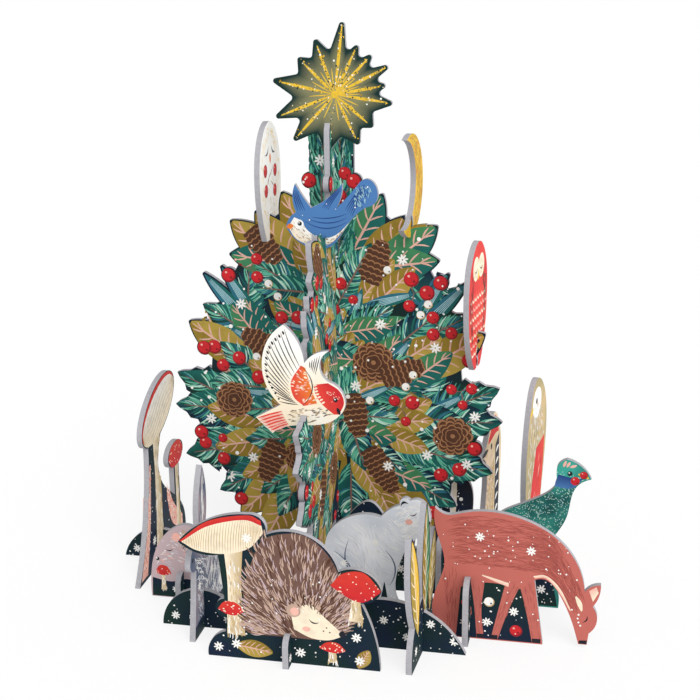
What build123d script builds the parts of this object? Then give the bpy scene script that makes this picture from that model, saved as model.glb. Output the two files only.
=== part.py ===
"""A slot-together Christmas tree and woodland figures, die-cut from thick printed board.

Millimetres. +Z is up and the ground is z = 0. The two tree panels cross on the Z axis:
the wide panel lies in the XZ plane and the deep panel in the YZ plane. The viewer stands
on the -Y side. Front cards lie parallel to XZ and side cards parallel to YZ.
"""
from build123d import *
from math import cos, pi, radians, sin, tan
import os

# Board and slots
card = 3.0
slot_gap = 0.15

# Tree panels: the height gives the reach, the heights of the parts and the sizes of the tips
tree_height = 213.0
tree_reach = 0.4366 * tree_height
skirt_height = 0.0939 * tree_height
belly_share = 0.42
skirt_share = 0.48
tree_roundness = 0.6
tree_core = 0.76
core_shares = (0.04, 0.2, 0.4, 0.6, 0.8, 0.95)
panel_lap = 0.5728 * tree_height
die_margin = 1.2
leaf_length = 0.2066 * tree_height
leaf_breadth = 0.0845 * tree_height
slim_length = 0.1878 * tree_height
slim_breadth = 0.0329 * tree_height
pine_length = 0.2441 * tree_height
pine_breadth = 0.1408 * tree_height
needle_count = 8
needle_step = 0.24
needle_lean = 0.65
berry_radius = 0.0207 * tree_height
spire_height = 1.1784 * tree_height
spire_width = 24.0
spire_foot = 0.7981 * tree_height
trunk_width = 19.0
tree_base_width = 84.0
tree_base_height = 15.0

# Tips of one wing of a tree panel, from the top: shape, share of the reach, share of the height, direction
wing_tips = (
    ("berry", 0.13, 1.02, 0),
    ("leaf", 0.29, 0.985, 62),
    ("leaf", 0.45, 0.935, 52),
    ("leaf", 0.60, 0.910, 40),
    ("leaf", 0.61, 0.825, 8),
    ("berry", 0.63, 0.770, 0),
    ("slim", 0.67, 0.790, 57),
    ("slim", 0.78, 0.770, 47),
    ("pine", 0.80, 0.690, 30),
    ("leaf", 0.88, 0.640, 34),
    ("berry", 0.80, 0.572, 0),
    ("pine", 0.98, 0.500, 24),
    ("pine", 1.00, 0.410, 2),
    ("berry", 0.84, 0.335, 0),
    ("pine", 0.95, 0.270, -12),
    ("pine", 0.74, 0.170, -28),
    ("berry", 0.60, 0.150, 0),
    ("leaf", 0.60, 0.110, -44),
    ("leaf", 0.46, 0.030, -62),
)

# Star
star_y = -8.0
star_x = 4.0
star_radius = 38.5
star_valley = 21.5
star_tip_round = 1.4
star_valley_round = 1.8
star_grip = 17.0

# Rays of the star, anticlockwise from the lowest: direction in degrees and share of the radius
star_ray_angles = (-99, -64, -40, -8, 10, 27, 46, 64, 83, 110, 136, 168, 201, 227)
star_ray_shares = (0.81, 0.76, 0.68, 0.84, 0.74, 0.92, 0.76, 0.76, 1.08, 0.80, 0.70, 0.92, 0.94, 0.90)

# Ledges for the two birds: slot in the bird's foot, lip before it, and slope of the panel's edge ahead of it
ledge_slot = 3.0
ledge_lip = 2.5
ledge_rise = 0.3

# Ornaments on the tree: place across the panel, overall height, then seat height or overlap with the panel
bluebird_y = -0.258 * tree_reach
bluebird_height = 36.0
bluebird_seat = 0.8855 * tree_height
finch_y = -0.765 * tree_reach
finch_height = 57.0
finch_seat = 0.5085 * tree_height
pale_owl_x = -0.387 * tree_reach
pale_owl_height = 63.0
pale_owl_grip = 15.0
moon_x = 0.441 * tree_reach
moon_radius = 27.0
moon_hollow_radius = 23.0
moon_hollow_shift = 13.0
moon_hollow_rise = 2.0
moon_grip = 12.0
moon_turn = 4.0
red_owl_x = 0.828 * tree_reach
red_owl_height = 69.0
red_owl_grip = 20.0
red_owl_turn = 7.0

# Ground figures: place of the crossing point on the ground, then sizes
hedgehog_x, hedgehog_y = 2.0, -120.5
hedgehog_height = 77.0
bear_x, bear_y = 30.0, -60.0
bear_height = 65.0
deer_x, deer_y = 84.5, -80.0
deer_height = 70.0
dotted_mound_x, dotted_mound_y = 64.8, -35.5
dotted_mound_height = 51.0
dormouse_x, dormouse_y = -71.0, -65.6
dormouse_height = 43.0
crested_bird_x, crested_bird_y = 112.0, -40.0
crested_bird_height = 84.0
badger_x, badger_y = 65.0, 14.0
badger_height = 50.0
right_mound_length = 82.0
right_mound_height = 26.4
right_mound_x = 45.0
sprig_x, sprig_y = 63.2, -97.7
sprig_base_length = 50.0
sprig_base_height = 30.0
sprig_leaf_length = 57.0
sprig_leaf_breadth = 15.0
sprig_turn = 4.0
# Leaves of the sprig: share of the base, direction in degrees, share of the leaf length
sprig_blades = ((-0.24, 104, 1.0), (0.08, 88, 1.06), (0.28, 74, 0.72))
left_mound_length = 42.0
left_mound_height = 21.0
hare_x, hare_y = -50.8, -94.0
hare_height = 87.0
tall_mushroom_gap = 6.0
tall_mushroom_x, tall_mushroom_y = -tree_reach - tall_mushroom_gap, -20.0
tall_mushroom_height = 108.0
tall_bird_gap = 17.0
tall_bird_x, tall_bird_y = tree_reach + tall_bird_gap, 6.0
tall_bird_height = 112.0
tall_bird_turn = 10.0
woodpecker_x, woodpecker_y = 84.0, 30.0
woodpecker_height = 82.0
woodpecker_turn = 9.0

# Cross feet: length on the ground and height
small_foot_length = 16.0
small_foot_height = 16.0
tall_foot_length = 22.0
tall_foot_height = 34.0
mound_foot_length = 44.0
mound_foot_height = 18.0
shoulder_share = 0.35


def outline(height, *strokes):
    """A face bounded by strokes in hundredths of the height: lines, arcs by three points and curves."""
    unit = height / 100
    stroke_kinds = {2: Line, 3: ThreePointArc}
    edges = []
    for stroke in strokes:
        draw = stroke_kinds.get(len(stroke), Spline)
        edges.append(draw(*[(unit * u, unit * v) for u, v in stroke]))
    return make_face(edges)


def leaf(length, breadth):
    """A leaf from the origin along +X: two arcs, and a die line outside them that rounds its ends."""
    upper = ThreePointArc((0, 0), (length / 2, breadth / 2), (length, 0))
    lower = ThreePointArc((0, 0), (length / 2, -breadth / 2), (length, 0))
    return offset(make_face([upper, lower]), die_margin)


def pine(length, breadth):
    """A needle spray from the origin along +X: an oval whose edge steps in and out with the needle ends."""
    side = []
    for k in range(1, needle_count):
        notch = k / needle_count
        end = (k + needle_lean) / needle_count
        side.append((length * notch, (1 - needle_step) * breadth / 2 * sin(pi * notch)))
        side.append((length * end, breadth / 2 * sin(pi * end)))
    other_side = [(x, -y) for x, y in reversed(side)]
    return make_face(Polyline((0, 0), *side, (length, 0), *other_side, close=True))


def dome(length, height):
    """A mound: a circular arch over a straight foot."""
    arch = ThreePointArc((-length / 2, 0), (0, height), (length / 2, 0))
    return make_face([arch, Line((length / 2, 0), (-length / 2, 0))])


def foot(length, height):
    """A block with rounded shoulders, standing on z = 0."""
    block = Pos(0, height / 2) * Rectangle(length, height)
    shoulders = block.vertices().sort_by(Axis.Y)[-2:]
    return fillet(shoulders, min(length, height) * shoulder_share)


def slot_width(turn=0.0):
    """Room along one card for another that crosses it, turned from the square by an angle."""
    return card / cos(radians(turn)) + card * tan(radians(turn)) + 2 * slot_gap


def reach_at(face, x, turn=0.0):
    """Lowest and highest points of a face across a slot at x."""
    size = face.bounding_box().size
    strip = Pos(x, face.center().Y) * Rectangle(slot_width(turn), 4 * size.Y)
    box = (face & strip).bounding_box()
    return box.min.Y, box.max.Y


def slot_from_top(face, x, depth_to, turn=0.0):
    """Cut a slot at x from the top edge down to a height, and drop any tip that it cuts loose."""
    top = face.bounding_box().max.Y + card
    slotted = face - Pos(x, (top + depth_to) / 2) * Rectangle(slot_width(turn), top - depth_to)
    return slotted.faces().sort_by(SortBy.AREA)[-1]


def slot_from_foot(face, x, rise_to, turn=0.0):
    """Cut a slot at x from the bottom edge up to a height."""
    low = face.bounding_box().min.Y - card
    return face - Pos(x, (low + rise_to) / 2) * Rectangle(slot_width(turn), rise_to - low)


def front_card(face, x, y):
    return Pos(x, y, 0) * (Plane.XZ * extrude(face, card / 2, both=True))


def side_card(face, x, y, turn=0.0):
    return Pos(x, y, 0) * Rot(0, 0, -turn) * (Plane.YZ * extrude(face, card / 2, both=True))


def half_width(u):
    """Half width of the tree at a share u of the height between its skirt and its top."""
    span = 1 - belly_share if u > belly_share else skirt_share
    return tree_reach * (1 - ((u - belly_share) / span) ** 2) ** tree_roundness


def edge_point(u):
    return half_width(u), skirt_height + u * (tree_height - skirt_height)


def tip_face(shape, reach, height, direction):
    """One tip of a wing, laid so that it ends at its shares of the reach and of the height."""
    if shape == "berry":
        return Pos(reach * tree_reach, height * tree_height) * Circle(berry_radius)
    draw, length, breadth = {
        "leaf": (leaf, leaf_length, leaf_breadth),
        "slim": (leaf, slim_length, slim_breadth),
        "pine": (pine, pine_length, pine_breadth),
    }[shape]
    place = Pos(reach * tree_reach, height * tree_height) * Rot(0, 0, direction)
    return place * Pos(-length, 0) * draw(length, breadth)


def tree_panel():
    """One whole tree panel: two mirrored wings, the spire, the trunk and the base, with no holes left."""
    rim = [(tree_core * w, z) for w, z in map(edge_point, core_shares)]
    low, high = (0, rim[0][1]), (0, rim[-1][1])
    core = make_face([Line(low, rim[0]), Spline(*rim), Line(rim[-1], high), Line(high, low)])
    wing = Sketch() + [core] + [tip_face(*tip) for tip in wing_tips]
    trunk = Pos(0, tree_height / 4) * Rectangle(trunk_width, tree_height / 2)
    spire = Pos(0, spire_foot) * foot(spire_width, spire_height - spire_foot)
    panel = wing + mirror(wing, about=Plane.YZ) + trunk + spire + dome(tree_base_width, tree_base_height)
    return make_face(panel.face().outer_wire())


def star_face():
    """A star of uneven rays about its centre, set off so that its lowest ray stands over the slot."""
    points = []
    next_angles = star_ray_angles[1:] + (star_ray_angles[0] + 360,)
    for angle, next_angle, share in zip(star_ray_angles, next_angles, star_ray_shares):
        tip, valley = radians(angle), radians((angle + next_angle) / 2)
        points.append((share * star_radius * cos(tip), share * star_radius * sin(tip)))
        points.append((star_valley * cos(valley), star_valley * sin(valley)))
    face = make_face(Polyline(*points, close=True))
    tips = face.vertices().filter_by(lambda v: Vector(v).length > star_valley + star_tip_round)
    face = fillet(tips, star_tip_round)
    valleys = face.vertices().filter_by(lambda v: abs(Vector(v).length - star_valley) < 0.01)
    return Pos(star_x, 0) * fillet(valleys, star_valley_round)


def moon_face():
    """A crescent open to the viewer's side, standing on its lowest point."""
    disc = Pos(0, moon_radius) * Circle(moon_radius)
    return disc - Pos(-moon_hollow_shift, moon_radius + moon_hollow_rise) * Circle(moon_hollow_radius)


def bluebird_face():
    return outline(bluebird_height,
                   [(-53, 30), (-46, 45), (-38, 51)], [(-38, 51), (-43, 74), (-39, 92)],
                   [(-39, 92), (-28, 74), (-16, 58)], [(-16, 58), (8, 72), (30, 94)],
                   [(30, 94), (28, 76), (21, 58)], [(21, 58), (40, 78), (55, 96)],
                   [(55, 96), (70, 100), (80, 87), (65, 61)],
                   [(65, 61), (46, 46), (32, 28), (14, 4), (-17, 0), (-40, 12), (-53, 30)])


def finch_face():
    return outline(finch_height,
                   [(-29, 0), (-16, 7), (11, 10), (32, 20)], [(32, 20), (37, 32), (33, 43), (23, 50)],
                   [(23, 50), (15, 60), (23, 78)], [(23, 78), (9, 74), (1, 66)],
                   [(1, 66), (-5, 86), (-17, 100)], [(-17, 100), (-33, 82), (-36, 52), (-21, 27)],
                   [(-21, 27), (-33, 20), (-44, 14)], [(-44, 14), (-29, 0)])


def pale_owl_face():
    return outline(pale_owl_height,
                   [(-12, 0), (-24, 22), (-30, 50), (-22, 84), (4, 100), (30, 84), (38, 50),
                    (32, 22), (14, 0)],
                   [(14, 0), (-12, 0)])


def red_owl_face():
    return outline(red_owl_height,
                   [(-9, 0), (-24, 22), (-30, 52), (-24, 84), (0, 100), (24, 84), (30, 52),
                    (24, 22), (9, 0)],
                   [(9, 0), (-9, 0)])


def hedgehog_face():
    """A hedgehog between mushrooms on a low bank, cut as one card."""
    return outline(hedgehog_height,
                   [(-53, 0), (-50, 12), (-41, 18)], [(-41, 18), (-40, 28)],
                   [(-40, 28), (-47, 34), (-41, 41)], [(-41, 41), (-44, 71)],
                   [(-44, 71), (-60, 72), (-70, 78)], [(-70, 78), (-50, 94), (-24, 100)],
                   [(-24, 100), (-15, 97), (-13, 87)], [(-13, 87), (8, 90), (33, 66)],
                   [(33, 66), (50, 67), (60, 55)], [(60, 55), (56, 49), (47, 46)],
                   [(47, 46), (56, 22), (59, 0)], [(59, 0), (-53, 0)])


def bear_face():
    return outline(bear_height,
                   [(-32, 0), (-34, 31), (-32, 66), (-11, 82), (10, 82)], [(10, 82), (17, 89), (26, 94)],
                   [(26, 94), (29, 100), (34, 98)], [(34, 98), (42, 99), (50, 80), (44, 71), (30, 55)],
                   [(30, 55), (23, 34), (22, 16), (32, 0)], [(32, 0), (-32, 0)])


def deer_face():
    """A grazing deer with the ground between its legs left on the card."""
    return outline(deer_height,
                   [(-15, 0), (-20, 45), (-17, 57), (-21, 76), (-24, 100)],
                   [(-24, 100), (-14, 95), (-5, 97), (42, 94), (60, 84), (82, 44)],
                   [(82, 44), (88, 49), (93, 50)], [(93, 50), (92, 41), (88, 33)],
                   [(88, 33), (91, 27), (86, 12)], [(86, 12), (85, 3)], [(85, 3), (79, 3)],
                   [(79, 3), (75, 17), (66, 38), (54, 51), (47, 50)], [(47, 50), (54, 0)],
                   [(54, 0), (-15, 0)])


def dotted_mound_face():
    return outline(dotted_mound_height,
                   [(-104, 0), (-100, 80), (-76, 100), (-50, 68), (-5, 58)], [(-5, 58), (10, 50), (14, 0)],
                   [(14, 0), (-104, 0)])


def dormouse_face():
    return outline(dormouse_height,
                   [(-40, 0), (-37, 47), (-14, 90), (12, 100), (30, 87), (33, 45), (31, 0)],
                   [(31, 0), (-40, 0)])


def crested_bird_face():
    """A bird with a raised tail and a crest, on a low bank."""
    return outline(crested_bird_height,
                   [(-19, 0), (-17, 20), (-4, 40), (-20, 60)],
                   [(-20, 60), (8, 76), (15, 84), (15, 93), (21, 100)], [(21, 100), (31, 95), (36, 88)],
                   [(36, 88), (27, 82), (22, 62), (10, 36), (17, 16), (19, 0)], [(19, 0), (-19, 0)])


def badger_face():
    return outline(badger_height,
                   [(-22, 0), (-24, 52), (-8, 98), (10, 98), (22, 52), (22, 0)], [(22, 0), (-22, 0)])


def sprig_face():
    """Three upright leaves on a rounded base."""
    face = dome(sprig_base_length, sprig_base_height)
    for place, direction, share in sprig_blades:
        blade = leaf(share * sprig_leaf_length, sprig_leaf_breadth)
        root = Pos(place * sprig_base_length, sprig_base_height - sprig_leaf_breadth)
        face += root * Rot(0, 0, direction) * blade
    return face


def hare_face():
    return outline(hare_height,
                   [(-20, 0), (-16, 18), (-12, 42)], [(-12, 42), (-22, 49), (-16, 58), (-4, 63)],
                   [(-4, 63), (-2, 84), (6, 100)], [(6, 100), (11, 84), (8, 63)],
                   [(8, 63), (24, 46), (40, 22), (38, 0)], [(38, 0), (-20, 0)])


def tall_mushroom_face():
    """A tall mushroom with a tilted cap beside a small one, on a shared bank."""
    unit = tall_mushroom_height / 100
    stem = outline(tall_mushroom_height,
                   [(-38, 0), (-22, 30), (-16, 76)], [(-16, 76), (8, 76)],
                   [(8, 76), (6, 38), (34, 12), (34, 0)], [(34, 0), (-38, 0)])
    cap = Pos(2 * unit, 83 * unit) * Rot(0, 0, 22) * Ellipse(27 * unit, 13.3 * unit)
    small_stem = Pos(24 * unit, 26 * unit) * Rectangle(8 * unit, 44 * unit)
    small_cap = Pos(24 * unit, 50 * unit) * Ellipse(12 * unit, 7 * unit)
    return stem + cap + small_stem + small_cap


def tall_bird_face():
    return outline(tall_bird_height,
                   [(-15, 0), (-19, 40), (-17, 80), (-3, 100), (12, 92), (18, 60), (10, 28), (14, 0)],
                   [(14, 0), (-15, 0)])


def woodpecker_face():
    return outline(woodpecker_height,
                   [(-16, 0), (-19, 36), (-16, 64), (-30, 77)],
                   [(-30, 77), (-14, 86), (2, 100), (16, 88), (20, 40), (18, 0)], [(18, 0), (-16, 0)])


def lap(low, tall, at_low=0.0, at_tall=0.0, turn=0.0):
    """Half-lap a low card, slotted from its top, into a taller one, slotted from the ground."""
    middle = reach_at(low, at_low, turn)[1] / 2
    return slot_from_top(low, at_low, middle, turn), slot_from_foot(tall, at_tall, middle, turn)


def hang(panel, at, ornament, grip, turn=0.0):
    """Seat an ornament on a panel's edge: both slots are half as deep as the overlap."""
    top = reach_at(panel, at, turn)[1]
    low = reach_at(ornament, 0, turn)[0]
    ornament = slot_from_foot(ornament, 0, low + grip / 2, turn)
    return slot_from_top(panel, at, top - grip / 2, turn), Pos(0, top - grip - low) * ornament


def hang_in_front(panel, at, seat, ornament):
    """Seat an ornament on a ledge in a panel's front edge, so that only a low lip stands before it."""
    low = reach_at(ornament, 0)[0]
    back, lip = at - slot_width() / 2, seat + ledge_lip
    front, above = panel.bounding_box().min.X - card, panel.bounding_box().max.Y + card
    before = make_face(Polyline((back, lip), (back, above), (front, above),
                                (front, lip + ledge_rise * (back - front)), close=True))
    ornament = slot_from_foot(ornament, 0, low + ledge_slot)
    return slot_from_top(panel - before, at, seat), Pos(0, seat - ledge_slot - low) * ornament


parts = {}

wide = slot_from_foot(tree_panel(), 0, panel_lap)
deep = slot_from_top(tree_panel(), 0, panel_lap)
wide, pale_owl = hang(wide, pale_owl_x, pale_owl_face(), pale_owl_grip)
wide, moon = hang(wide, moon_x, moon_face(), moon_grip, moon_turn)
wide, red_owl = hang(wide, red_owl_x, red_owl_face(), red_owl_grip, red_owl_turn)
deep, star = hang(deep, star_y, star_face(), star_grip)
deep, bluebird = hang_in_front(deep, bluebird_y, bluebird_seat, bluebird_face())
deep, finch = hang_in_front(deep, finch_y, finch_seat, finch_face())
parts["wide_tree_panel"] = front_card(wide, 0, 0)
parts["deep_tree_panel"] = side_card(deep, 0, 0)
parts["star"] = front_card(star, 0, star_y)
parts["bluebird"] = front_card(bluebird, 0, bluebird_y)
parts["finch"] = front_card(finch, 0, finch_y)
parts["pale_owl"] = side_card(pale_owl, pale_owl_x, 0)
parts["crescent_moon"] = side_card(moon, moon_x, 0, moon_turn)
parts["red_owl"] = side_card(red_owl, red_owl_x, 0, red_owl_turn)

# Front figures, each on a side foot
small_foot = foot(small_foot_length, small_foot_height)
tall_foot = foot(tall_foot_length, tall_foot_height)
front_figures = {
    "hedgehog": (hedgehog_face(), hedgehog_x, hedgehog_y, small_foot),
    "bear": (bear_face(), bear_x, bear_y, small_foot),
    "deer": (deer_face(), deer_x, deer_y, tall_foot),
    "dotted_mound": (dotted_mound_face(), dotted_mound_x, dotted_mound_y, tall_foot),
    "dormouse": (dormouse_face(), dormouse_x, dormouse_y, small_foot),
    "crested_bird": (crested_bird_face(), crested_bird_x, crested_bird_y, small_foot),
    "badger": (badger_face(), badger_x, badger_y, small_foot),
}
for name, (figure, x, y, stand) in front_figures.items():
    stand, figure = lap(stand, figure)
    parts[name] = front_card(figure, x, y)
    parts[name + "_foot"] = side_card(stand, x, y)

# Side figures, each on a front mound
mound_foot = dome(mound_foot_length, mound_foot_height)
side_figures = {
    "leaf_sprig": (sprig_face(), sprig_x, sprig_y, sprig_turn, dome(right_mound_length, right_mound_height),
                   right_mound_x, "right_mound"),
    "hare": (hare_face(), hare_x, hare_y, 0.0, dome(left_mound_length, left_mound_height),
             hare_x, "left_mound"),
    "tall_mushroom": (tall_mushroom_face(), tall_mushroom_x, tall_mushroom_y, 0.0, mound_foot,
                      tall_mushroom_x, "tall_mushroom_foot"),
    "tall_bird": (tall_bird_face(), tall_bird_x, tall_bird_y, tall_bird_turn, mound_foot,
                  tall_bird_x, "tall_bird_foot"),
    "woodpecker": (woodpecker_face(), woodpecker_x, woodpecker_y, woodpecker_turn, mound_foot,
                   woodpecker_x, "woodpecker_foot"),
}
for name, (figure, x, y, turn, mound, mound_x, mound_name) in side_figures.items():
    mound, figure = lap(mound, figure, at_low=x - mound_x, turn=turn)
    parts[name] = side_card(figure, x, y, turn)
    parts[mound_name] = front_card(mound, mound_x, y)

os.makedirs("parts", exist_ok=True)
for name, part in parts.items():
    part.label = name
    export_step(part, f"parts/{name}.step")
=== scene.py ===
"""Printed looks for a slot-together tree and its woodland figures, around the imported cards.

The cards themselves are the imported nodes. This file gives them board and print materials, and lays
flat inks on both faces of each card. Drawings are in millimetres or in hundredths of a figure's height.
"""
import math

import bpy
import numpy as np
from bpy.props import FloatProperty, FloatVectorProperty, IntProperty, PointerProperty
from mathutils import Matrix, Vector


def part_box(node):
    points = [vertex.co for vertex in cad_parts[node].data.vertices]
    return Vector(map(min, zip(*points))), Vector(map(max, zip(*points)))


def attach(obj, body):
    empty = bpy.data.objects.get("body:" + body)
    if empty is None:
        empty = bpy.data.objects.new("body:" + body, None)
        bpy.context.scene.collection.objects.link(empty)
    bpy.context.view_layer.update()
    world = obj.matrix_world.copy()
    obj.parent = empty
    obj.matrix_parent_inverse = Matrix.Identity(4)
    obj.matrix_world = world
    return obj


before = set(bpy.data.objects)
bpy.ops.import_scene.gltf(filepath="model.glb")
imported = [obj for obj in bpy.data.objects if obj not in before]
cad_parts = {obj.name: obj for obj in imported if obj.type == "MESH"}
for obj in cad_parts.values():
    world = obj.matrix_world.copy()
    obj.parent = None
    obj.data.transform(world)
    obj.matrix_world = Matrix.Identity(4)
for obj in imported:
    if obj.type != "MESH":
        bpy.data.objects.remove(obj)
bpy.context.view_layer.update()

bl_info = {
    "name": "Pop-up tree calendar",
    "version": (1, 0, 0),
    "blender": (4, 5, 0),
    "location": "View3D > Sidebar > Calendar",
    "description": "Prints and board finishes for a slot-together tree with woodland figures",
    "category": "Object",
}

# Metres to the millimetre, then board thickness, height of the tree panels and reach of a wing
MM = 0.001
CARD = 3.0
TREE_HEIGHT = 213.0
TREE_REACH = 0.4366 * TREE_HEIGHT

# Print, in millimetres: lowest ink above the board, step between inks, and depth that counts as the face
INK_LIFT = 0.01
INK_STEP = 0.0003
FACE_DEPTH = 0.05
# Cells across a card in which inks are counted, and points looked up at a time
CELLS = 64
CHUNK = 2000
# Heights over which the marks of one batch take turns, and steps of a curve under fur
STROKE_TURNS, DOT_TURNS, FUR_TURNS = 8, 3, 101
FUR_STEPS = 60

# Noises: scale per metre, detail, and the span that is stretched from 0 to 1
GRAIN = (1400.0, 2.0)
PULP = (810.0, 4.0)
PATCHES = (35.0, 3.0, 0.36, 0.64)
BRUSH = (260.0, 3.0, 0.45, 0.75)
GLITTER = (2600.0, 0.0, 0.50, 0.62)
# Materials: share of a normal that counts as print, shades of the pulp, dark of the brush, metal of the foil
FACE_LIMIT = 0.6
PULP_SHADES = (0.72, 1.12)
BRUSH_DARK, FOIL_METAL = 0.16, 0.2
PRINT_ROUGH, BOARD_ROUGH, GRAIN_ROUGH, FOIL_SMOOTHING = 0.52, 0.92, 0.08, 0.17
SPECULAR = 0.08
# Bumps: height in metres and strengths
BUMP_HEIGHT = 0.00012
BOARD_BUMP, INK_BUMP, FOIL_BUMP = 0.25, 0.3, 2.0

# Stage, in metres and degrees
CAMERA_PLACE = (0.14911, -0.66908, 0.32675)
CAMERA_YAW, CAMERA_PITCH, CAMERA_ROLL = 11.86, 16.52, -0.61
SENSOR_WIDTH = 36.0
WHITE = (1.0, 1.0, 1.0, 1.0)
SKY_LIGHT = 0.6
FLOOR_GLOW = 0.76
FLOOR_RADIUS = 3.0
FLOOR_SIDES = 48
LAMP_PLACE = (0.0, 0.0, 1.0)
# Lamps: direction of the light, strength, apparent size in degrees, whether they cast shadows
LAMPS = {
    "key_lamp": ((-0.45, 0.75, -0.95), 1.4, 40.0, True),
    "fill_lamp": ((-1.0, 0.50, -0.35), 1.5, 60.0, False),
}

# Cards: the way they face, crossing point, turn in degrees, millimetres per drawing unit, two ground inks
CARDS = {
    "wide_tree_panel": ("front", 0, 0, 0, 1.0, "night", "forest"),
    "deep_tree_panel": ("side", 0, 0, 0, 1.0, "night", "forest"),
    "star": ("front", 4.0, -8.0, 0, 1.0, "star_rim", "forest"),
    "bluebird": ("front", 0, -0.258 * TREE_REACH, 0, 0.36, "blue", "blue"),
    "finch": ("front", 0, -0.765 * TREE_REACH, 0, 0.57, "snow", "cream"),
    "pale_owl": ("side", -0.387 * TREE_REACH, 0, 0, 0.63, "snow", "snow"),
    "crescent_moon": ("side", 0.441 * TREE_REACH, 0, 4, 1.0, "gold", "gold_dark"),
    "red_owl": ("side", 0.828 * TREE_REACH, 0, 7, 0.69, "berry", "rose"),
    "hedgehog": ("front", 2.0, -120.5, 0, 0.77, "night", "forest"),
    "bear": ("front", 30, -60, 0, 0.65, "bear", "bear_shade"),
    "deer": ("front", 84.5, -80, 0, 0.70, "deer", "deer"),
    "dotted_mound": ("front", 64.8, -35.5, 0, 0.51, "night", "forest"),
    "dormouse": ("front", -71, -65.6, 0, 0.43, "lilac", "lilac"),
    "crested_bird": ("front", 112, -40, 0, 0.84, "teal", "teal_dark"),
    "badger": ("front", 65, 14, 0, 0.50, "coal", "night"),
    "leaf_sprig": ("side", 63.2, -97.7, 4, 1.0, "night", "forest"),
    "right_mound": ("front", 45, -97.7, 0, 1.0, "night", "forest"),
    "hare": ("side", -50.8, -94, 0, 0.87, "slate", "lilac"),
    "left_mound": ("front", -50.8, -94, 0, 1.0, "night", "forest"),
    "tall_mushroom": ("side", -TREE_REACH - 6, -20, 0, 1.08, "night", "forest"),
    "tall_bird": ("side", TREE_REACH + 17, 6, 10, 1.12, "star_heart", "gill"),
    "woodpecker": ("side", 84, 30, 9, 0.82, "cream", "gill"),
}
for _name in ("hedgehog", "bear", "deer", "dotted_mound", "dormouse", "crested_bird", "badger"):
    CARDS[_name + "_foot"] = ("side", *CARDS[_name][1:3], 0, 1.0, "night", "forest")
for _name in ("tall_mushroom", "tall_bird", "woodpecker"):
    CARDS[_name + "_foot"] = ("front", *CARDS[_name][1:3], 0, 1.0, "night", "forest")
# Ornaments whose drawings start at their own lowest point
HUNG = ("bluebird", "finch", "pale_owl", "crescent_moon", "red_owl")

# Tips of one wing of a tree panel: shape, share of the reach, share of the height, direction
WING_TIPS = (
    ("leaf", 0.29, 0.985, 62), ("leaf", 0.45, 0.935, 52), ("leaf", 0.60, 0.910, 40),
    ("leaf", 0.61, 0.825, 8), ("slim", 0.67, 0.790, 57), ("slim", 0.78, 0.770, 47),
    ("pine", 0.80, 0.690, 30), ("leaf", 0.88, 0.640, 34), ("pine", 0.98, 0.500, 24),
    ("pine", 1.00, 0.410, 2), ("pine", 0.95, 0.270, -12), ("pine", 0.74, 0.170, -28),
    ("leaf", 0.60, 0.110, -44), ("leaf", 0.46, 0.030, -62),
)
# Berries on the edge: share of the reach, share of the height
EDGE_BERRIES = ((0.13, 1.02), (0.63, 0.77), (0.80, 0.572), (0.84, 0.335), (0.60, 0.15))
# Growth of the print at the rim, and length and breadth of each shape
RIM_GROWTH = 1.2
TIP_SIZES = {"leaf": (44.0, 18.0), "slim": (40.0, 7.0), "pine": (52.0, 30.0)}
LEAF_INKS = (("olive", "olive_light"), ("green_leaf", "pine"))

# Sprig: base length, height of the roots, leaf length and breadth
SPRIG_BASE, SPRIG_ROOT, SPRIG_LEAF, SPRIG_BREADTH = 50.0, 15.0, 57.0, 14.5
# Blades of the sprig: share of the base, direction, share of the length
SPRIG_BLADES = ((-0.24, 104, 1.0), (0.08, 88, 1.06), (0.28, 74, 0.72))

# Star: height of its centre, radius, radius of the valleys
STAR_CENTRE = 263.0
STAR_RADIUS = 38.5
STAR_VALLEY = 21.5
# Rays of the star: direction, share of the radius
STAR_TIPS = ((-99, 0.81), (-64, 0.76), (-40, 0.68), (-8, 0.84), (10, 0.74), (27, 0.92), (46, 0.76),
             (64, 0.76), (83, 1.08), (110, 0.80), (136, 0.70), (168, 0.92), (201, 0.94), (227, 0.90))


def linear(colour):
    """Linear light of a display colour: c/12.92 below 0.04045, else ((c + 0.055)/1.055)^2.4."""
    c = np.asarray(colour, float)[..., :3]
    return np.where(c < 0.04045, c / 12.92, ((c + 0.055) / 1.055) ** 2.4)


def ink(name, description, code):
    """A colour property from a six-digit display code."""
    default = tuple(((code >> shift) & 255) / 255 for shift in (16, 8, 0))
    return FloatVectorProperty(name=name, description=description, default=default, size=3,
                               min=0.0, max=1.0, subtype="COLOR_GAMMA")


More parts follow.
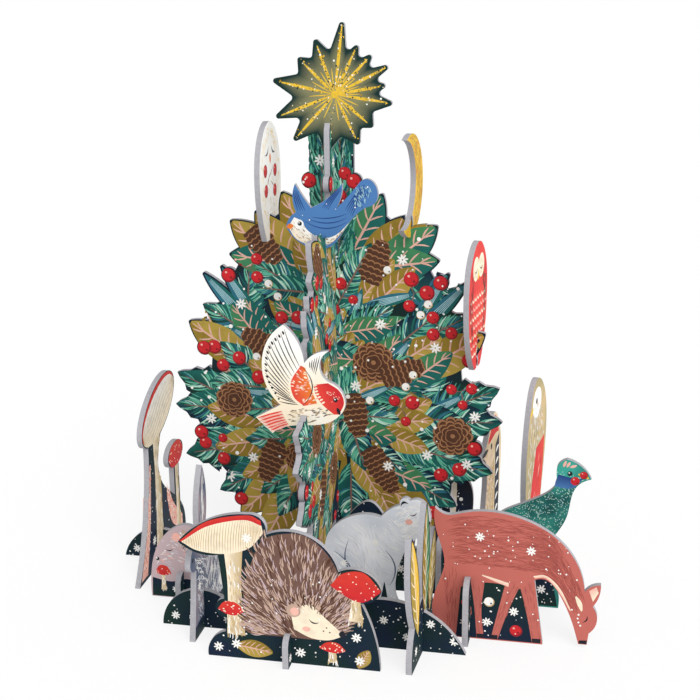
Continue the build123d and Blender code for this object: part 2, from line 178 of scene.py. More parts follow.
class CalendarInks(bpy.types.PropertyGroup):
    """Colours of the print and of the board."""
    night: ink("Night", "Dark blue of the banks and mounds", 0x071B33)
    forest: ink("Forest", "Dark green under the needles", 0x06261F)
    pine: ink("Pine", "Middle green of the needles", 0x17625A)
    needle: ink("Needle", "Light green of single needles", 0x5FB095)
    frost: ink("Frost", "Palest needle ends", 0xB5DCC9)
    blue_leaf: ink("Blue leaf", "Slim leaves at the edge", 0x2B6A80)
    blue_line: ink("Blue line", "Pale lines on the slim leaves", 0x9DC4CC)
    olive: ink("Olive", "Broad leaves", 0x8F7729)
    olive_light: ink("Light olive", "Sunny half of the broad leaves", 0xAB9340)
    green_leaf: ink("Green leaf", "Green broad leaves", 0x3E7F55)
    vein: ink("Vein", "Pink veins and twigs", 0xD9AB9B)
    twig: ink("Twig", "Brown twigs", 0x7C5E55)
    berry: ink("Berry", "Red berries", 0xC6252B)
    berry_dark: ink("Berry shade", "Shaded side of the berries", 0x8B1A22)
    cone: ink("Cone", "Dark brown of the cones", 0x523322)
    cone_light: ink("Cone scale", "Scale edges of the cones", 0xA0714D)
    snow: ink("Snow", "Snowflakes, dots and white plumage", 0xF3F2EE)
    cream: ink("Cream", "Bellies, stems and faces", 0xF1E2C8)
    gill: ink("Gill", "Gill lines and pale brown strokes", 0xC2A97C)
    cap: ink("Cap", "Red mushroom caps", 0xD0382B)
    gold: ink("Gold", "Foil rays and crescent", 0xE5BC37)
    gold_dark: ink("Dark gold", "Shaded foil", 0xA98324)
    star_heart: ink("Star heart", "Middle of the star", 0x8B8862)
    star_rim: ink("Star rim", "Rim of the star", 0x0E2F2C)
    blue: ink("Blue plumage", "Wings and back of the small bird", 0x4876AC)
    blue_dark: ink("Dark plumage", "Feather lines of the small bird", 0x1F3F7A)
    rose: ink("Rose plumage", "Back of the red birds", 0xDD4337)
    deer: ink("Deer coat", "Coat of the grazing animal", 0xBA655B)
    deer_line: ink("Coat lines", "Wavy lines in the coat", 0xA04F47)
    bear: ink("Bear coat", "Pale grey coat", 0xEEF0F4)
    bear_shade: ink("Bear shade", "Grey shading", 0xCBD1D9)
    brown: ink("Bristle", "Brown bristles", 0x6E5147)
    brown_light: ink("Light bristle", "Pale bristles", 0xBFA290)
    lilac: ink("Lilac coat", "Pink-grey coat", 0xBFA9AC)
    teal: ink("Teal plumage", "Plumage of the crested bird", 0x3BA091)
    teal_dark: ink("Dark teal", "Shaded plumage", 0x17524F)
    coal: ink("Coal", "Eyes, noses and dark stripes", 0x1B1D26)
    orange: ink("Orange", "Beaks and glowing feathers", 0xE27A2E)
    slate: ink("Slate", "Blue-grey fur", 0x55627A)
    pink: ink("Pink", "Cheeks and stems", 0xEDB3A4)
    board: ink("Board", "Grey cut edge", 0xAEADB2)
    floor: ink("Floor", "Studio floor", 0xF9F9F9)


class CalendarSizes(bpy.types.PropertyGroup):
    """Amounts that a user may change."""
    needles: IntProperty(name="Needles", description="Needles on each side of a spray",
                         default=22, min=4, max=60)
    flakes: IntProperty(name="Snow dots", description="Snow dots on each tree panel",
                        default=230, min=0, max=600)
    grain: FloatProperty(name="Grain", description="Strength of the paper grain",
                         default=0.03, min=0.0, max=1.0, subtype="FACTOR")
    lens: FloatProperty(name="Lens", description="Focal length of the camera in millimetres",
                        default=66.857, min=10.0, unit="CAMERA")


def tint(name):
    """Linear colour of an ink by its name."""
    return linear(getattr(bpy.context.scene.calendar_inks, name))


def inked(colour):
    """Linear colour of an ink by its name. Colours that are numbers already stay as they are."""
    return tint(colour) if isinstance(colour, str) else np.asarray(colour, float)


# Shader maths

class Socket:
    """A node socket on which the arithmetic operators add Math nodes."""

    def __init__(self, shade, socket):
        self.shade = shade
        self.socket = socket

    def math(self, operation, *others):
        """A Math node with this socket as its first input."""
        return self.shade.node("Math", {"operation": operation}, dict(enumerate((self, *others))))

    def __add__(self, other):
        return self.math("ADD", other)

    __radd__ = __add__

    def __sub__(self, other):
        return self.math("SUBTRACT", other)

    def __rsub__(self, other):
        return self.shade.node("Math", {"operation": "SUBTRACT"}, {0: other, 1: self})

    def __mul__(self, other):
        return self.math("MULTIPLY", other)

    __rmul__ = __mul__

    def __abs__(self):
        return self.math("ABSOLUTE")

    def __gt__(self, other):
        return self.math("GREATER_THAN", other)


class Shade:
    """The nodes of one material or world under construction."""

    def __init__(self, owner):
        self.owner = owner
        owner.use_nodes = True
        self.tree = owner.node_tree
        self.tree.nodes.clear()

    def node(self, kind, settings=None, inputs=None, output=0):
        """Make a node, set its settings, then its inputs by value or link, and return one of its outputs."""
        made = self.tree.nodes.new("ShaderNode" + kind)
        for key, value in (settings or {}).items():
            setattr(made, key, value)
        for key, value in (inputs or {}).items():
            if isinstance(value, Socket):
                self.tree.links.new(value.socket, made.inputs[key])
            else:
                made.inputs[key].default_value = value
        return Socket(self, made.outputs[output]) if made.outputs else None

    def mix(self, factor, a, b):
        """Colour a where the factor is 0 and b where it is 1."""
        a, b = ((*c, 1.0) if not isinstance(c, Socket) else c for c in (a, b))
        return self.node("Mix", {"data_type": "RGBA"}, {0: factor, 6: a, 7: b}, output=2)

    def noise(self, scale, detail, *span):
        """Noise in the object's own coordinates. A span of it, if given, is stretched from 0 to 1."""
        place = self.node("TexCoord", output="Object")
        value = self.node("TexNoise", None, {"Vector": place, "Scale": scale, "Detail": detail})
        return self.node("MapRange", None, {"Value": value, 1: span[0], 2: span[1]}) if span else value

    def bump(self, height, strength):
        """A bumped normal."""
        return self.node("Bump", None, {"Height": height, "Strength": strength, "Distance": BUMP_HEIGHT})

    def surface(self, **inputs):
        """A Principled surface with the named inputs, linked to the output."""
        named = {key.replace("_", " "): value for key, value in inputs.items()}
        shader = self.node("BsdfPrincipled", None, {"Specular IOR Level": SPECULAR, **named})
        self.node("OutputMaterial", None, {"Surface": shader})
        return self.owner


def card_turn(name):
    """Sine and cosine of a card's turn: its width runs along (sin, cos) and its front faces (cos, -sin)."""
    way, _, _, turn = CARDS[name][:4]
    a = math.radians(turn)
    return (1.0, 0.0) if way == "front" else (math.sin(a), math.cos(a))


def card_material(name):
    """Printed board: mottled print on the two flat faces, layered grey pulp on the cut edge.

    The face mask is |N . n| > FACE_LIMIT for the card's own normal n. The print mixes two inks by a noise.
    """
    shade = Shade(bpy.data.materials.new("board_" + name))
    normal = shade.node("NewGeometry", output="True Normal")
    sine, cosine = card_turn(name)
    pair = {0: normal, 1: (cosine, -sine, 0.0)}
    face = abs(shade.node("VectorMath", {"operation": "DOT_PRODUCT"}, pair, output="Value")) > FACE_LIMIT
    grain, pulp = shade.noise(*GRAIN), shade.noise(*PULP)
    print_colour = shade.mix(shade.noise(*PATCHES), *(tint(n) for n in CARDS[name][5:]))
    print_colour = shade.mix(grain * bpy.context.scene.calendar_sizes.grain, print_colour, tint("board"))
    pulp_colour = shade.mix(pulp, *(tint("board") * v for v in PULP_SHADES))
    colour = shade.mix(face, pulp_colour, print_colour)
    rough = BOARD_ROUGH - face * (BOARD_ROUGH - PRINT_ROUGH) + grain * GRAIN_ROUGH
    bump = shade.bump(grain + pulp * (1 - face), BOARD_BUMP)
    return shade.surface(Base_Color=colour, Roughness=rough, Normal=bump)


def ink_material():
    """Ink: its colour and its share of foil come from the mesh, with a dry-brush grain over it."""
    shade = Shade(bpy.data.materials.new("print_ink"))
    colour = shade.node("Attribute", {"attribute_name": "ink"}, output="Color")
    foil = shade.node("Attribute", {"attribute_name": "foil"}, output="Fac")
    grain = shade.noise(*GRAIN)
    colour = shade.mix(shade.noise(*BRUSH) * BRUSH_DARK, colour, tint("coal"))
    colour = shade.mix(grain * bpy.context.scene.calendar_sizes.grain, colour, tint("board"))
    bump = shade.bump(grain + shade.noise(*GLITTER) * foil * FOIL_BUMP, INK_BUMP)
    rough = PRINT_ROUGH + grain * GRAIN_ROUGH - foil * FOIL_SMOOTHING
    return shade.surface(Base_Color=colour, Roughness=rough, Metallic=foil * FOIL_METAL, Normal=bump)


# Drawing in numpy

def smooth(points, count):
    """A Catmull-Rom curve through the points, sampled at even steps of its parameter."""
    p = np.asarray(points, float)
    p = np.vstack([2 * p[0] - p[1], p, 2 * p[-1] - p[-2]])
    t = np.linspace(0, len(p) - 3, count)
    i = np.minimum(t.astype(int), len(p) - 4)
    f = (t - i)[:, None]
    a, b, c, d = p[i], p[i + 1], p[i + 2], p[i + 3]
    bow, swing = 2 * a - 5 * b + 4 * c - d, 3 * b - a - 3 * c + d
    return 0.5 * (2 * b + (c - a) * f + bow * f ** 2 + swing * f ** 3)


def ladder(rows, columns):
    """Quads of a grid of rows by columns, as vertex numbers."""
    i = np.arange(rows * columns).reshape(rows, columns)
    return np.stack([i[:-1, :-1], i[1:, :-1], i[1:, 1:], i[:-1, 1:]], -1).reshape(-1, 4)


def rays(angles):
    """Unit vectors at angles in radians."""
    return np.stack([np.cos(angles), np.sin(angles)], -1)


def turned(points, direction, place):
    """Points turned by a direction in degrees and moved to a place."""
    c, s = math.cos(math.radians(direction)), math.sin(math.radians(direction))
    x, y = np.moveaxis(np.asarray(points, float), -1, 0)
    return np.stack([c * x - s * y, s * x + c * y], -1) + np.asarray(place, float)


def placed(along, across, direction, tip):
    """Points at places along and across a direction, with the tip at 0."""
    return turned(np.stack(np.broadcast_arrays(along, across), -1), direction, tip)


def blade(t, half, length, direction, tip):
    """The two edges of a blade that points at its tip, from half breadths at shares t of its length."""
    return [placed((t - 1) * length, side * half, direction, tip) for side in (1, -1)]


class Sheet:
    """The flat inks of one card, in drawing units, laid one over the other on both of its faces."""

    def __init__(self, name, seed):
        self.name = name
        _, self.x, self.y, _, self.unit = CARDS[name][:5]
        self.sine, self.cosine = card_turn(name)
        self.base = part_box(name)[0].z / MM if name in HUNG else STAR_CENTRE if name == "star" else 0.0
        self.rng = np.random.default_rng(seed)
        self.points, self.colours, self.foils, self.heights, self.faces = [], [], [], [], []
        self.count = 0
        self.outline = self.face_triangles()
        self.low = self.outline.min((0, 1))
        self.cell = (self.outline.max((0, 1)) - self.low) / CELLS
        self.tops = np.zeros((CELLS, CELLS), int)

    def face_triangles(self):
        """Triangles of the card's own flat face, in drawing units."""
        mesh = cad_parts[self.name].data
        co = np.empty(len(mesh.vertices) * 3)
        mesh.vertices.foreach_get("co", co)
        mesh.calc_loop_triangles()
        tri = np.empty(len(mesh.loop_triangles) * 3, int)
        mesh.loop_triangles.foreach_get("vertices", tri)
        corners = co.reshape(-1, 3)[tri.reshape(-1, 3)] / MM
        x, y, z = np.moveaxis(corners - np.array([self.x, self.y, self.base]), -1, 0)
        across, out = x * self.sine + y * self.cosine, x * self.cosine - y * self.sine
        flat = (out > CARD / 2 - FACE_DEPTH).all(1)
        return np.stack([across, z], -1)[flat] / self.unit

    def inside(self, points):
        """True for points in any triangle of the outline: all three edge products have one sign."""
        p = np.asarray(points, float).reshape(-1, 2)
        found = np.zeros(len(p), bool)
        a, b, c = (self.outline[:, k] for k in range(3))
        for start in range(0, len(p), CHUNK):
            q = p[start:start + CHUNK, None]
            sides = [(v - u)[:, 0] * (q - u)[..., 1] - (v - u)[:, 1] * (q - u)[..., 0]
                     for u, v in ((a, b), (b, c), (c, a))]
            low, high = np.minimum.reduce(sides), np.maximum.reduce(sides)
            found[start:start + CHUNK] = ((low >= 0) | (high <= 0)).any(1)
        return found.reshape(np.shape(points)[:-1])

    def lay(self, points, faces, colour, foil=0.0, shapes=1, turns=1):
        """Add faces over what is already there. Shapes of one batch take turns over a few heights.

        A grid of cells over the card holds the number of layers in each cell, and a batch starts at the
        highest of the cells in its own box.
        """
        n = len(points)
        if n == 0:
            return
        turn = np.repeat(np.arange(shapes) % turns, n // shapes)
        p = np.asarray(points, float)
        corners = p[faces]
        following = np.roll(corners, -1, 1)
        area = (corners[..., 0] * following[..., 1] - corners[..., 1] * following[..., 0]).sum(1)
        faces = np.where((area < 0)[:, None], faces[:, ::-1], faces)
        self.points.append(p)
        self.colours.append(np.broadcast_to(np.asarray(colour, float), (n, 3)))
        self.foils.append(np.full(n, foil))
        first, last = np.clip(((p.min(0), p.max(0)) - self.low) / self.cell, 0, CELLS - 1).astype(int)
        covered = self.tops[first[0]:last[0] + 1, first[1]:last[1] + 1]
        level = covered.max()
        covered[:] = level + min(shapes, turns)
        self.heights.append((level + turn) * INK_STEP)
        self.faces.append(faces + self.count)
        self.count += n

    def patch(self, points, quads, shades):
        """Lay quads with only the points that they use."""
        used, quads = np.unique(quads, return_inverse=True)
        self.lay(points[used], quads.reshape(-1, 4), shades[used])

    def band(self, upper, lower, colour, low_colour=None, along=28, across=6):
        """The ruled surface S(s, t) = (1 - s) A(t) + s B(t) between smooth curves A and B, on the card."""
        a, b = smooth(upper, along), smooth(lower, along)
        s = np.linspace(0, 1, across)[:, None, None]
        points = ((1 - s) * a + s * b).reshape(-1, 2)
        first, last = inked(colour), inked(low_colour or colour)
        shades = np.broadcast_to((1 - s) * first + s * last, (across, along, 3)).reshape(-1, 3)
        quads = ladder(across, along)
        self.patch(points, quads[self.inside(points[quads].mean(1))], shades)

    def strokes(self, start, end, width, colours, bend=0.0, steps=3, foil=0.0, clip=True, turns=STROKE_TURNS):
        """Strokes P(s) = a + s(b - a) + 4 bend s(1 - s) n. Their width swells as 0.3 + 0.7 sin(pi s)."""
        a, b = (np.asarray(v, float).reshape(-1, 2) for v in (start, end))
        d = b - a
        n = np.stack([-d[:, 1], d[:, 0]], -1)
        bend = np.broadcast_to(np.asarray(bend, float), len(a))
        width = np.broadcast_to(np.asarray(width, float), len(a))
        colours = np.broadcast_to(inked(colours), (len(a), 3))
        if clip:
            middle = (a + b) / 2 + bend[:, None] * n
            kept = self.inside(np.stack([a, middle, b], 1)).all(1)
            a, d, n, bend, width, colours = (v[kept] for v in (a, d, n, bend, width, colours))
        if not len(a):
            return
        s = np.linspace(0, 1, steps + 1)[:, None]
        path = a[:, None] + s * d[:, None] + 4 * s * (1 - s) * bend[:, None, None] * n[:, None]
        unit = n / np.maximum(np.linalg.norm(n, axis=1), 1e-9)[:, None]
        half = (0.3 + 0.7 * np.sin(np.pi * s)) * width[:, None, None] / 2
        points = np.stack([path + half * unit[:, None], path - half * unit[:, None]], 2)
        quads = ladder(steps + 1, 2)
        each = 2 * (steps + 1)
        faces = (quads[None] + each * np.arange(len(a))[:, None, None]).reshape(-1, 4)
        self.lay(points.reshape(-1, 2), faces, np.repeat(colours, each, 0), foil, len(a), turns)

    def dots(self, centres, radii, colours, sides=12, squash=1.0, direction=0.0, foil=0.0):
        """Ovals: each is a ring of points c + r (cos, squash sin), turned by a direction."""
        c = np.asarray(centres, float).reshape(-1, 2)
        r = np.broadcast_to(np.asarray(radii, float), len(c))
        colours = np.broadcast_to(inked(colours), (len(c), 3))
        ring = rays(np.arange(sides) * 2 * np.pi / sides) * (1, squash)
        ring = turned(ring, direction, (0, 0))
        points = c[:, None] + r[:, None, None] * ring
        kept = self.inside(points[:, ::3]).all(1)
        points, colours = points[kept], colours[kept]
        faces = np.arange(points.shape[0] * sides).reshape(-1, sides)
        self.lay(points.reshape(-1, 2), faces, np.repeat(colours, sides, 0), foil, len(points), DOT_TURNS)

    def pick(self, inks, count):
        """Random colours out of some inks."""
        return np.array([tint(n) for n in inks])[self.rng.integers(0, len(inks), count)]

    def fur(self, upper, lower, count, length, width, inks, lean=0.0, jitter=0.25, away=None, bend=0.08,
            foil=0.0):
        """Strokes scattered over a ruled surface, along its curves, turned by lean, or away from a point."""
        a, b = smooth(upper, FUR_STEPS), smooth(lower, FUR_STEPS)
        s, t = self.rng.random(count)[:, None], self.rng.random(count)
        step = t * (FUR_STEPS - 1)
        i = np.minimum(step.astype(int), FUR_STEPS - 2)
        f = (step - i)[:, None]
        root = (1 - s) * (a[i] * (1 - f) + a[i + 1] * f) + s * (b[i] * (1 - f) + b[i + 1] * f)
        along = (1 - s) * (a[i + 1] - a[i]) + s * (b[i + 1] - b[i])
        if away is not None:
            along = root - np.asarray(away, float)
        angle = np.arctan2(along[:, 1], along[:, 0]) + math.radians(lean) + self.rng.normal(0, jitter, count)
        tip = root + length * self.rng.uniform(0.7, 1.2, count)[:, None] * rays(angle)
        self.strokes(root, tip, width, self.pick(inks, count), bend=bend, foil=foil, turns=FUR_TURNS)

    def snowflakes(self, places, radius):
        """Eight petals round each place, from a fifth of the radius to its end."""
        c = np.asarray(places, float).reshape(-1, 2)
        for arm in rays(np.arange(8) * np.pi / 4 + 0.2) * radius:
            self.strokes(c + 0.12 * arm, c + arm, radius * 0.36, "snow", steps=4)

    def specks(self, count, low, high, radii, colour="snow"):
        """Small round dots at random places in a box, on the card. Their radii are in millimetres."""
        places = self.rng.uniform(low, high, (count, 2))
        self.dots(places, self.rng.uniform(*radii, count) / self.unit, colour, sides=8)

    def berries(self, places, radius, red=True):
        """Round berries with painted shade on one side, a painted highlight and a dark crown."""
        c = np.asarray(places, float).reshape(-1, 2)
        r = np.broadcast_to(np.asarray(radius, float), len(c))
        # Painted shade: the darker disc shows as a shaded rim on one side of each berry
        self.dots(c, r, "berry_dark" if red else "gill", sides=16)
        self.dots(c + r[:, None] * (-0.08, 0.10), r * 0.86, "berry" if red else "snow", sides=16)
        # Painted highlight: a small pale spot on the berry's lit side
        self.dots(c + r[:, None] * (-0.35, 0.40), r * 0.17, "pink" if red else "snow", sides=8)
        self.dots(c + r[:, None] * (0.35, -0.30), r * 0.20, "coal" if not red else "berry_dark", sides=6)

    def leaf(self, tip, direction, length, breadth, inks=LEAF_INKS[0], vein="vein"):
        """A leaf of two halves with a rib and veins.

        At a share t of the length the half breadth is 2 b t(1 - t) + 0.5.
        """
        t = np.linspace(0.015, 0.985, 14)
        rib = placed((t - 1) * length, 0.0, direction, tip)
        for edge, name in zip(blade(t, breadth * 2 * t * (1 - t) + 0.5, length, direction, tip), inks):
            self.band(edge, rib, name, along=16, across=3)
        start = np.linspace(0.12, 0.78, 6)
        share = start + 0.14
        out = breadth * 2 * share * (1 - share) * 0.86
        roots = placed((start - 1) * length, 0.0, direction, tip)
        for ends in blade(share, out, length, direction, tip):
            self.strokes(roots, ends, breadth * 0.045 + 0.15, vein, 0.06)
        stalk, end = turned([(-length, 0), (-0.04 * length, 0)], direction, tip)
        self.strokes(stalk, end, breadth * 0.06 + 0.2, vein, 0.0, 4)

    def slim(self, tip, direction, length, breadth):
        """A slim leaf with fine pale lines: its half breadth is 1.9 b t(1 - t) at a share t of the length."""
        t = np.linspace(0.015, 0.985, 12)
        edges = blade(t, breadth * 1.9 * t * (1 - t), length, direction, tip)
        self.band(*edges, "blue_leaf", "pine", 14, 4)
        lift = np.linspace(-0.3, 0.3, 5) * breadth
        start = placed(-0.8 * length, lift, direction, tip)
        end = placed(-0.12 * length, lift * 0.35, direction, tip)
        self.strokes(start, end, 0.5, "blue_line", 0.0, 4)

    def pine(self, tip, direction, length, breadth, dark="forest"):
        """A needle spray: a dark oval, a twig, and needles that end at the teeth of the edge.

        At a share t of the length the edge is at b/2 sin(pi t) times 0.76 in a notch and 1 at a tooth.
        """
        rng = self.rng
        t = np.linspace(0.015, 0.985, 14)
        edges = blade(t, breadth / 2 * 0.74 * np.sin(np.pi * t), length, direction, tip)
        self.band(*edges, dark, "pine", 16, 4)
        n = bpy.context.scene.calendar_sizes.needles
        for reach in (1.0, 0.70):
            for side in (1, -1):
                ahead = rng.uniform(0.14, 0.97, n)
                tooth = 8 * ahead % 1.0
                edge = 0.76 + 0.24 * np.where(tooth < 0.65, tooth / 0.65, (1 - tooth) / 0.35)
                out = side * breadth / 2 * 0.95 * reach * edge * np.sin(np.pi * ahead)
                share = np.maximum(ahead - 0.19 * reach * rng.uniform(0.8, 1.3, n), 0.01)
                root = placed((share - 1) * length, 0.0, direction, tip)
                end = placed((ahead - 1) * length, out, direction, tip)
                shades = self.pick(("pine", "needle", "needle", "frost", "blue_leaf"), n)
                self.strokes(root, end, rng.uniform(0.6, 1.25, n), shades, bend=0.07 * side)
        stalk, end = turned([(-length, 0), (-0.1 * length, 0)], direction, tip)
        self.strokes(stalk, end, 1.1, "twig", 0.0, 4)

    def cone(self, tip, direction, length, breadth):
        """A cone: a brown egg shape under rows of overlapping scales, each a pale oval with a dark middle.

        At a share t of the length the half breadth is b/2 sqrt(1 - ((t - 0.32)/w)^2), where w is 0.36 behind
        0.32 and 0.70 ahead of it.
        """
        def girth(t):
            return breadth / 2 * np.sqrt(1 - ((t - 0.32) / np.where(t > 0.32, 0.70, 0.36)) ** 2)

        t = np.linspace(0.0, 1.0, 14)
        self.band(*blade(t, girth(t) + 0.3, length, direction, tip), "cone", "cone", 16, 4)
        rows = max(4, int(length / 2.9))
        for k in range(rows):
            share = (k + 0.6) / rows
            reach = girth(share) * 0.84
            count = 2 + int(reach / 2.2)
            across = np.linspace(-1, 1, count) * reach + (k % 2 - 0.5) * 0.9
            size = 0.15 * girth(share) + 0.75
            for back, grown, name, squash in ((0.0, 1.25, "cone_light", 0.7), (0.55, 1.1, "cone", 0.72)):
                c = placed((share - 1) * length - back, across, direction, tip)
                self.dots(c, size * grown, name, 8, squash, direction + 90)

    def rosette(self, place, radius):
        """A cone seen from its end: rings of petal scales, each ring smaller and turned by half a petal."""
        self.dots(place, radius, "cone", 18)
        for ring, count in enumerate((11, 9, 7, 5)):
            reach = radius * (0.80 - 0.21 * ring)
            centre = np.asarray(place) + reach * rays(np.arange(count) * 2 * np.pi / count + 0.4 * ring)
            self.dots(centre, radius * 0.24, "cone_light", 9)
            self.dots(centre - (centre - np.asarray(place)) * 0.10, radius * 0.215, "cone", 9)
        self.dots(place, radius * 0.12, "cone_light", 8)

    def closed_eye(self, place, width, lean):
        """A sleeping eye: one bowed stroke."""
        a, b = turned([(-width / 2, 0), (width / 2, 0)], lean, place)
        self.strokes(a, b, width * 0.16, "coal", -0.22, 6, clip=False)

    def build(self):
        """Both faces of the card as one mesh that rides on it."""
        across, rise = (np.vstack(self.points) * self.unit).T
        out = CARD / 2 + INK_LIFT + np.concatenate(self.heights)
        co = np.vstack([np.stack([self.x + across * self.sine + n * self.cosine,
                                  self.y + across * self.cosine - n * self.sine,
                                  self.base + rise], -1) for n in (out, -out)]) * MM
        flat, starts, place = [], [], 0
        for faces in self.faces + [f[:, ::-1] + self.count for f in self.faces]:
            flat.append(faces.ravel())
            starts.append(place + np.arange(len(faces)) * faces.shape[1])
            place += faces.size
        mesh = bpy.data.meshes.new("print_" + self.name)
        mesh.vertices.add(len(co))
        mesh.vertices.foreach_set("co", co.astype(np.float32).ravel())
        mesh.loops.add(place)
        mesh.loops.foreach_set("vertex_index", np.concatenate(flat).astype(np.int32))
        starts = np.concatenate(starts).astype(np.int32)
        mesh.polygons.add(len(starts))
        mesh.polygons.foreach_set("loop_start", starts)
        mesh.update(calc_edges=True)
        colours = np.vstack(self.colours * 2)
        rgba = np.hstack([colours, np.ones((len(co), 1))])
        ink_data = mesh.attributes.new("ink", "FLOAT_COLOR", "POINT").data
        ink_data.foreach_set("color", rgba.astype(np.float32).ravel())
        foil_data = mesh.attributes.new("foil", "FLOAT", "POINT").data
        foil_data.foreach_set("value", np.concatenate(self.foils * 2).astype(np.float32))
        mesh.materials.append(bpy.data.materials["print_ink"])
        piece = bpy.data.objects.new("print_" + self.name, mesh)
        bpy.context.scene.collection.objects.link(piece)
        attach(piece, "root")


# Tree

def undergrowth(sheet, heart):
    """Sprays and leaves at random places that point away from the heart, where they fit on the panel."""
    rng = sheet.rng
    for tip in rng.uniform((-88, 12), (88, 212), (150, 2)):
        direction = math.degrees(math.atan2(*(tip - heart)[::-1])) + rng.normal(0, 22)
        kind = "pine" if rng.random() < 0.62 else "leaf"
        length, breadth = (0.8 * v for v in TIP_SIZES[kind])
        corners = [(0, 0), (-length / 2, breadth / 2), (-length / 2, -breadth / 2), (-length, 0)]
        if not sheet.inside(turned(corners, direction, tip)).all():
            continue
        if kind == "pine":
            sheet.pine(tip, direction, length, breadth, "night")
        else:
            sheet.leaf(tip, direction, length, breadth, LEAF_INKS[int(rng.random() < 0.5)])


def tree_print(name, seed):
    """Sprays and leaves from the rim to the heart of each wing, and the spire; tree_trimmings lays cones,
    berries and snow over them.
    """
    sheet = Sheet(name, seed)
    rng = sheet.rng
    heart = np.array([0.0, 0.40 * TREE_HEIGHT])
    undergrowth(sheet, heart)
    kinds = ("pine", "leaf", "pine", "slim", "leaf")
    for row, shrink in enumerate((1.0, 0.80, 0.60, 0.40)):
        for side in (1, -1):
            for k, (kind, reach, height, direction) in enumerate(WING_TIPS):
                if row:
                    kind = kinds[(k * 2 + row + (side > 0)) % 5]
                    if kind == "slim" and height < 0.5:
                        kind = "leaf"
                tip = np.array([side * reach * TREE_REACH, height * TREE_HEIGHT])
                grown = 0 if row or kind == "pine" else RIM_GROWTH
                tip = heart + shrink * (tip - heart) + rays(math.radians(direction)) * (side, 1) * grown / 3
                direction = direction if side > 0 else 180 - direction
                length, breadth = np.add(TIP_SIZES[kind], grown)
                direction += rng.normal(0, 7) if row else 0
                scale = 1.0 if not row else rng.uniform(0.72, 0.92)
                if kind == "pine":
                    sheet.pine(tip, direction, length * scale, breadth * scale, ("forest", "night")[k % 2])
                elif kind == "slim":
                    sheet.slim(tip, direction, length * scale, breadth * (1 if not row else 1.25) * scale)
                else:
                    inks = LEAF_INKS[int(k in (3, 4) or rng.random() < 0.2)]
                    sheet.leaf(tip, direction, length * scale, breadth * scale, inks)
    # Spire: needles over the block and along its edges, then three pairs of sprays
    sheet.fur([(-11, 172), (-11, 240)], [(11, 172), (11, 240)],
              320, 11, 1.0, ("pine", "needle", "blue_leaf", "frost"), jitter=0.3)
    for side in (1, -1):
        sheet.fur([(side * 8, 172), (side * 8, 246)], [(side * 12.6, 172), (side * 12.6, 246)], 170, 6, 1.0,
                  ("pine", "needle", "pine"), jitter=0.12)
    for level, spread in ((248, 5.5), (236, 6), (224, 6.5)):
        for side in (1, -1):
            sheet.pine((side * spread, level), 90 - side * 4, 46, 15)
    return sheet


def tree_trimmings(sheet, shift):
    """Cones, rosettes, berries on twigs, pale berries and snowflakes."""
    for x, z, size in ((-58, 92, 10.5), (66, 78, 11), (22, 118, 11.5), (-20, 60, 9.5)):
        sheet.rosette((x + shift, z), size)
    for x, z, direction, length in ((-30, 172, -50, 24), (28, 186, 70, 25), (50, 118, 20, 25),
                                    (-42, 44, -110, 26), (34, 42, -60, 30), (-52, 132, 150, 23),
                                    (14, 74, -80, 26)):
        sheet.cone((x - shift, z), direction, length, 13)
    clusters = ((-46, 168), (44, 158), (-62, 118), (58, 140), (-36, 104), (70, 104), (-70, 62), (66, 52),
                (4, 154), (-12, 196), (10, 214), (-8, 32), (38, 92), (-24, 138))
    for x, z in clusters:
        centre = np.array([x + shift * 0.6, z])
        angles = sheet.rng.uniform(0, 2 * np.pi) + np.array([0.0, 1.9, 3.6])
        places = centre + sheet.rng.uniform(5.0, 8.0, (3, 1)) * rays(angles)
        sheet.strokes(np.repeat(centre[None], 3, 0), places, 0.8, "twig", 0.08)
        sheet.berries(places, sheet.rng.uniform(2.6, 4.2, 3))
    edge = np.array([(side * r * TREE_REACH, h * TREE_HEIGHT) for r, h in EDGE_BERRIES for side in (1, -1)])
    sheet.berries(edge, 4.0)
    pale = np.array([(-36, 160), (-31, 153), (30, 170), (52, 152), (48, 146), (44, 112), (40, 105),
                     (-44, 118), (20, 96)])
    sheet.berries(pale + (shift, 0), 2.4, red=False)
    flakes = np.array([(-52, 148), (38, 176), (26, 140), (-30, 118), (-72, 80), (78, 90), (12, 104),
                       (-16, 84), (52, 66), (-48, 58), (30, 58), (74, 62), (-20, 22), (20, 26), (0, 176),
                       (-6, 228), (56, 128), (-62, 46)])
    sheet.snowflakes(flakes, 3.2)
    dots = bpy.context.scene.calendar_sizes.flakes
    for count, radii in ((dots, (0.35, 0.85)), (dots // 6, (0.9, 1.3))):
        sheet.specks(count, (-93, 2), (93, 250), radii)


class CALENDAR_OT_tree(bpy.types.Operator):
    """Print both tree panels"""
    bl_idname = "calendar.tree"
    bl_label = "Tree panels"

    def execute(self, context):
        for name, seed, shift in (("wide_tree_panel", 11, 0.0), ("deep_tree_panel", 12, 5.0)):
            sheet = tree_print(name, seed)
            tree_trimmings(sheet, shift)
            sheet.build()
        return {"FINISHED"}


# Stage

def stand_camera(scene):
    """The camera looks along a yaw and a pitch, and is rolled about its own axis."""
    yaw, pitch, roll = (math.radians(v) for v in (CAMERA_YAW, CAMERA_PITCH, CAMERA_ROLL))
    level = np.array([math.cos(yaw), math.sin(yaw), 0.0])
    ahead = np.array([-math.sin(yaw) * math.cos(pitch), math.cos(yaw) * math.cos(pitch), -math.sin(pitch)])
    above = np.cross(level, ahead)
    right = math.cos(roll) * level + math.sin(roll) * above
    up = math.cos(roll) * above - math.sin(roll) * level
    camera = bpy.data.objects.new("camera", bpy.data.cameras.new("camera"))
    camera.data.lens = scene.calendar_sizes.lens
    camera.data.sensor_width = SENSOR_WIDTH
    turn = Matrix(np.stack([right, up, -ahead], 1).tolist()).to_4x4()
    camera.matrix_world = Matrix.Translation(CAMERA_PLACE) @ turn
    scene.collection.objects.link(camera)
    scene.camera = camera


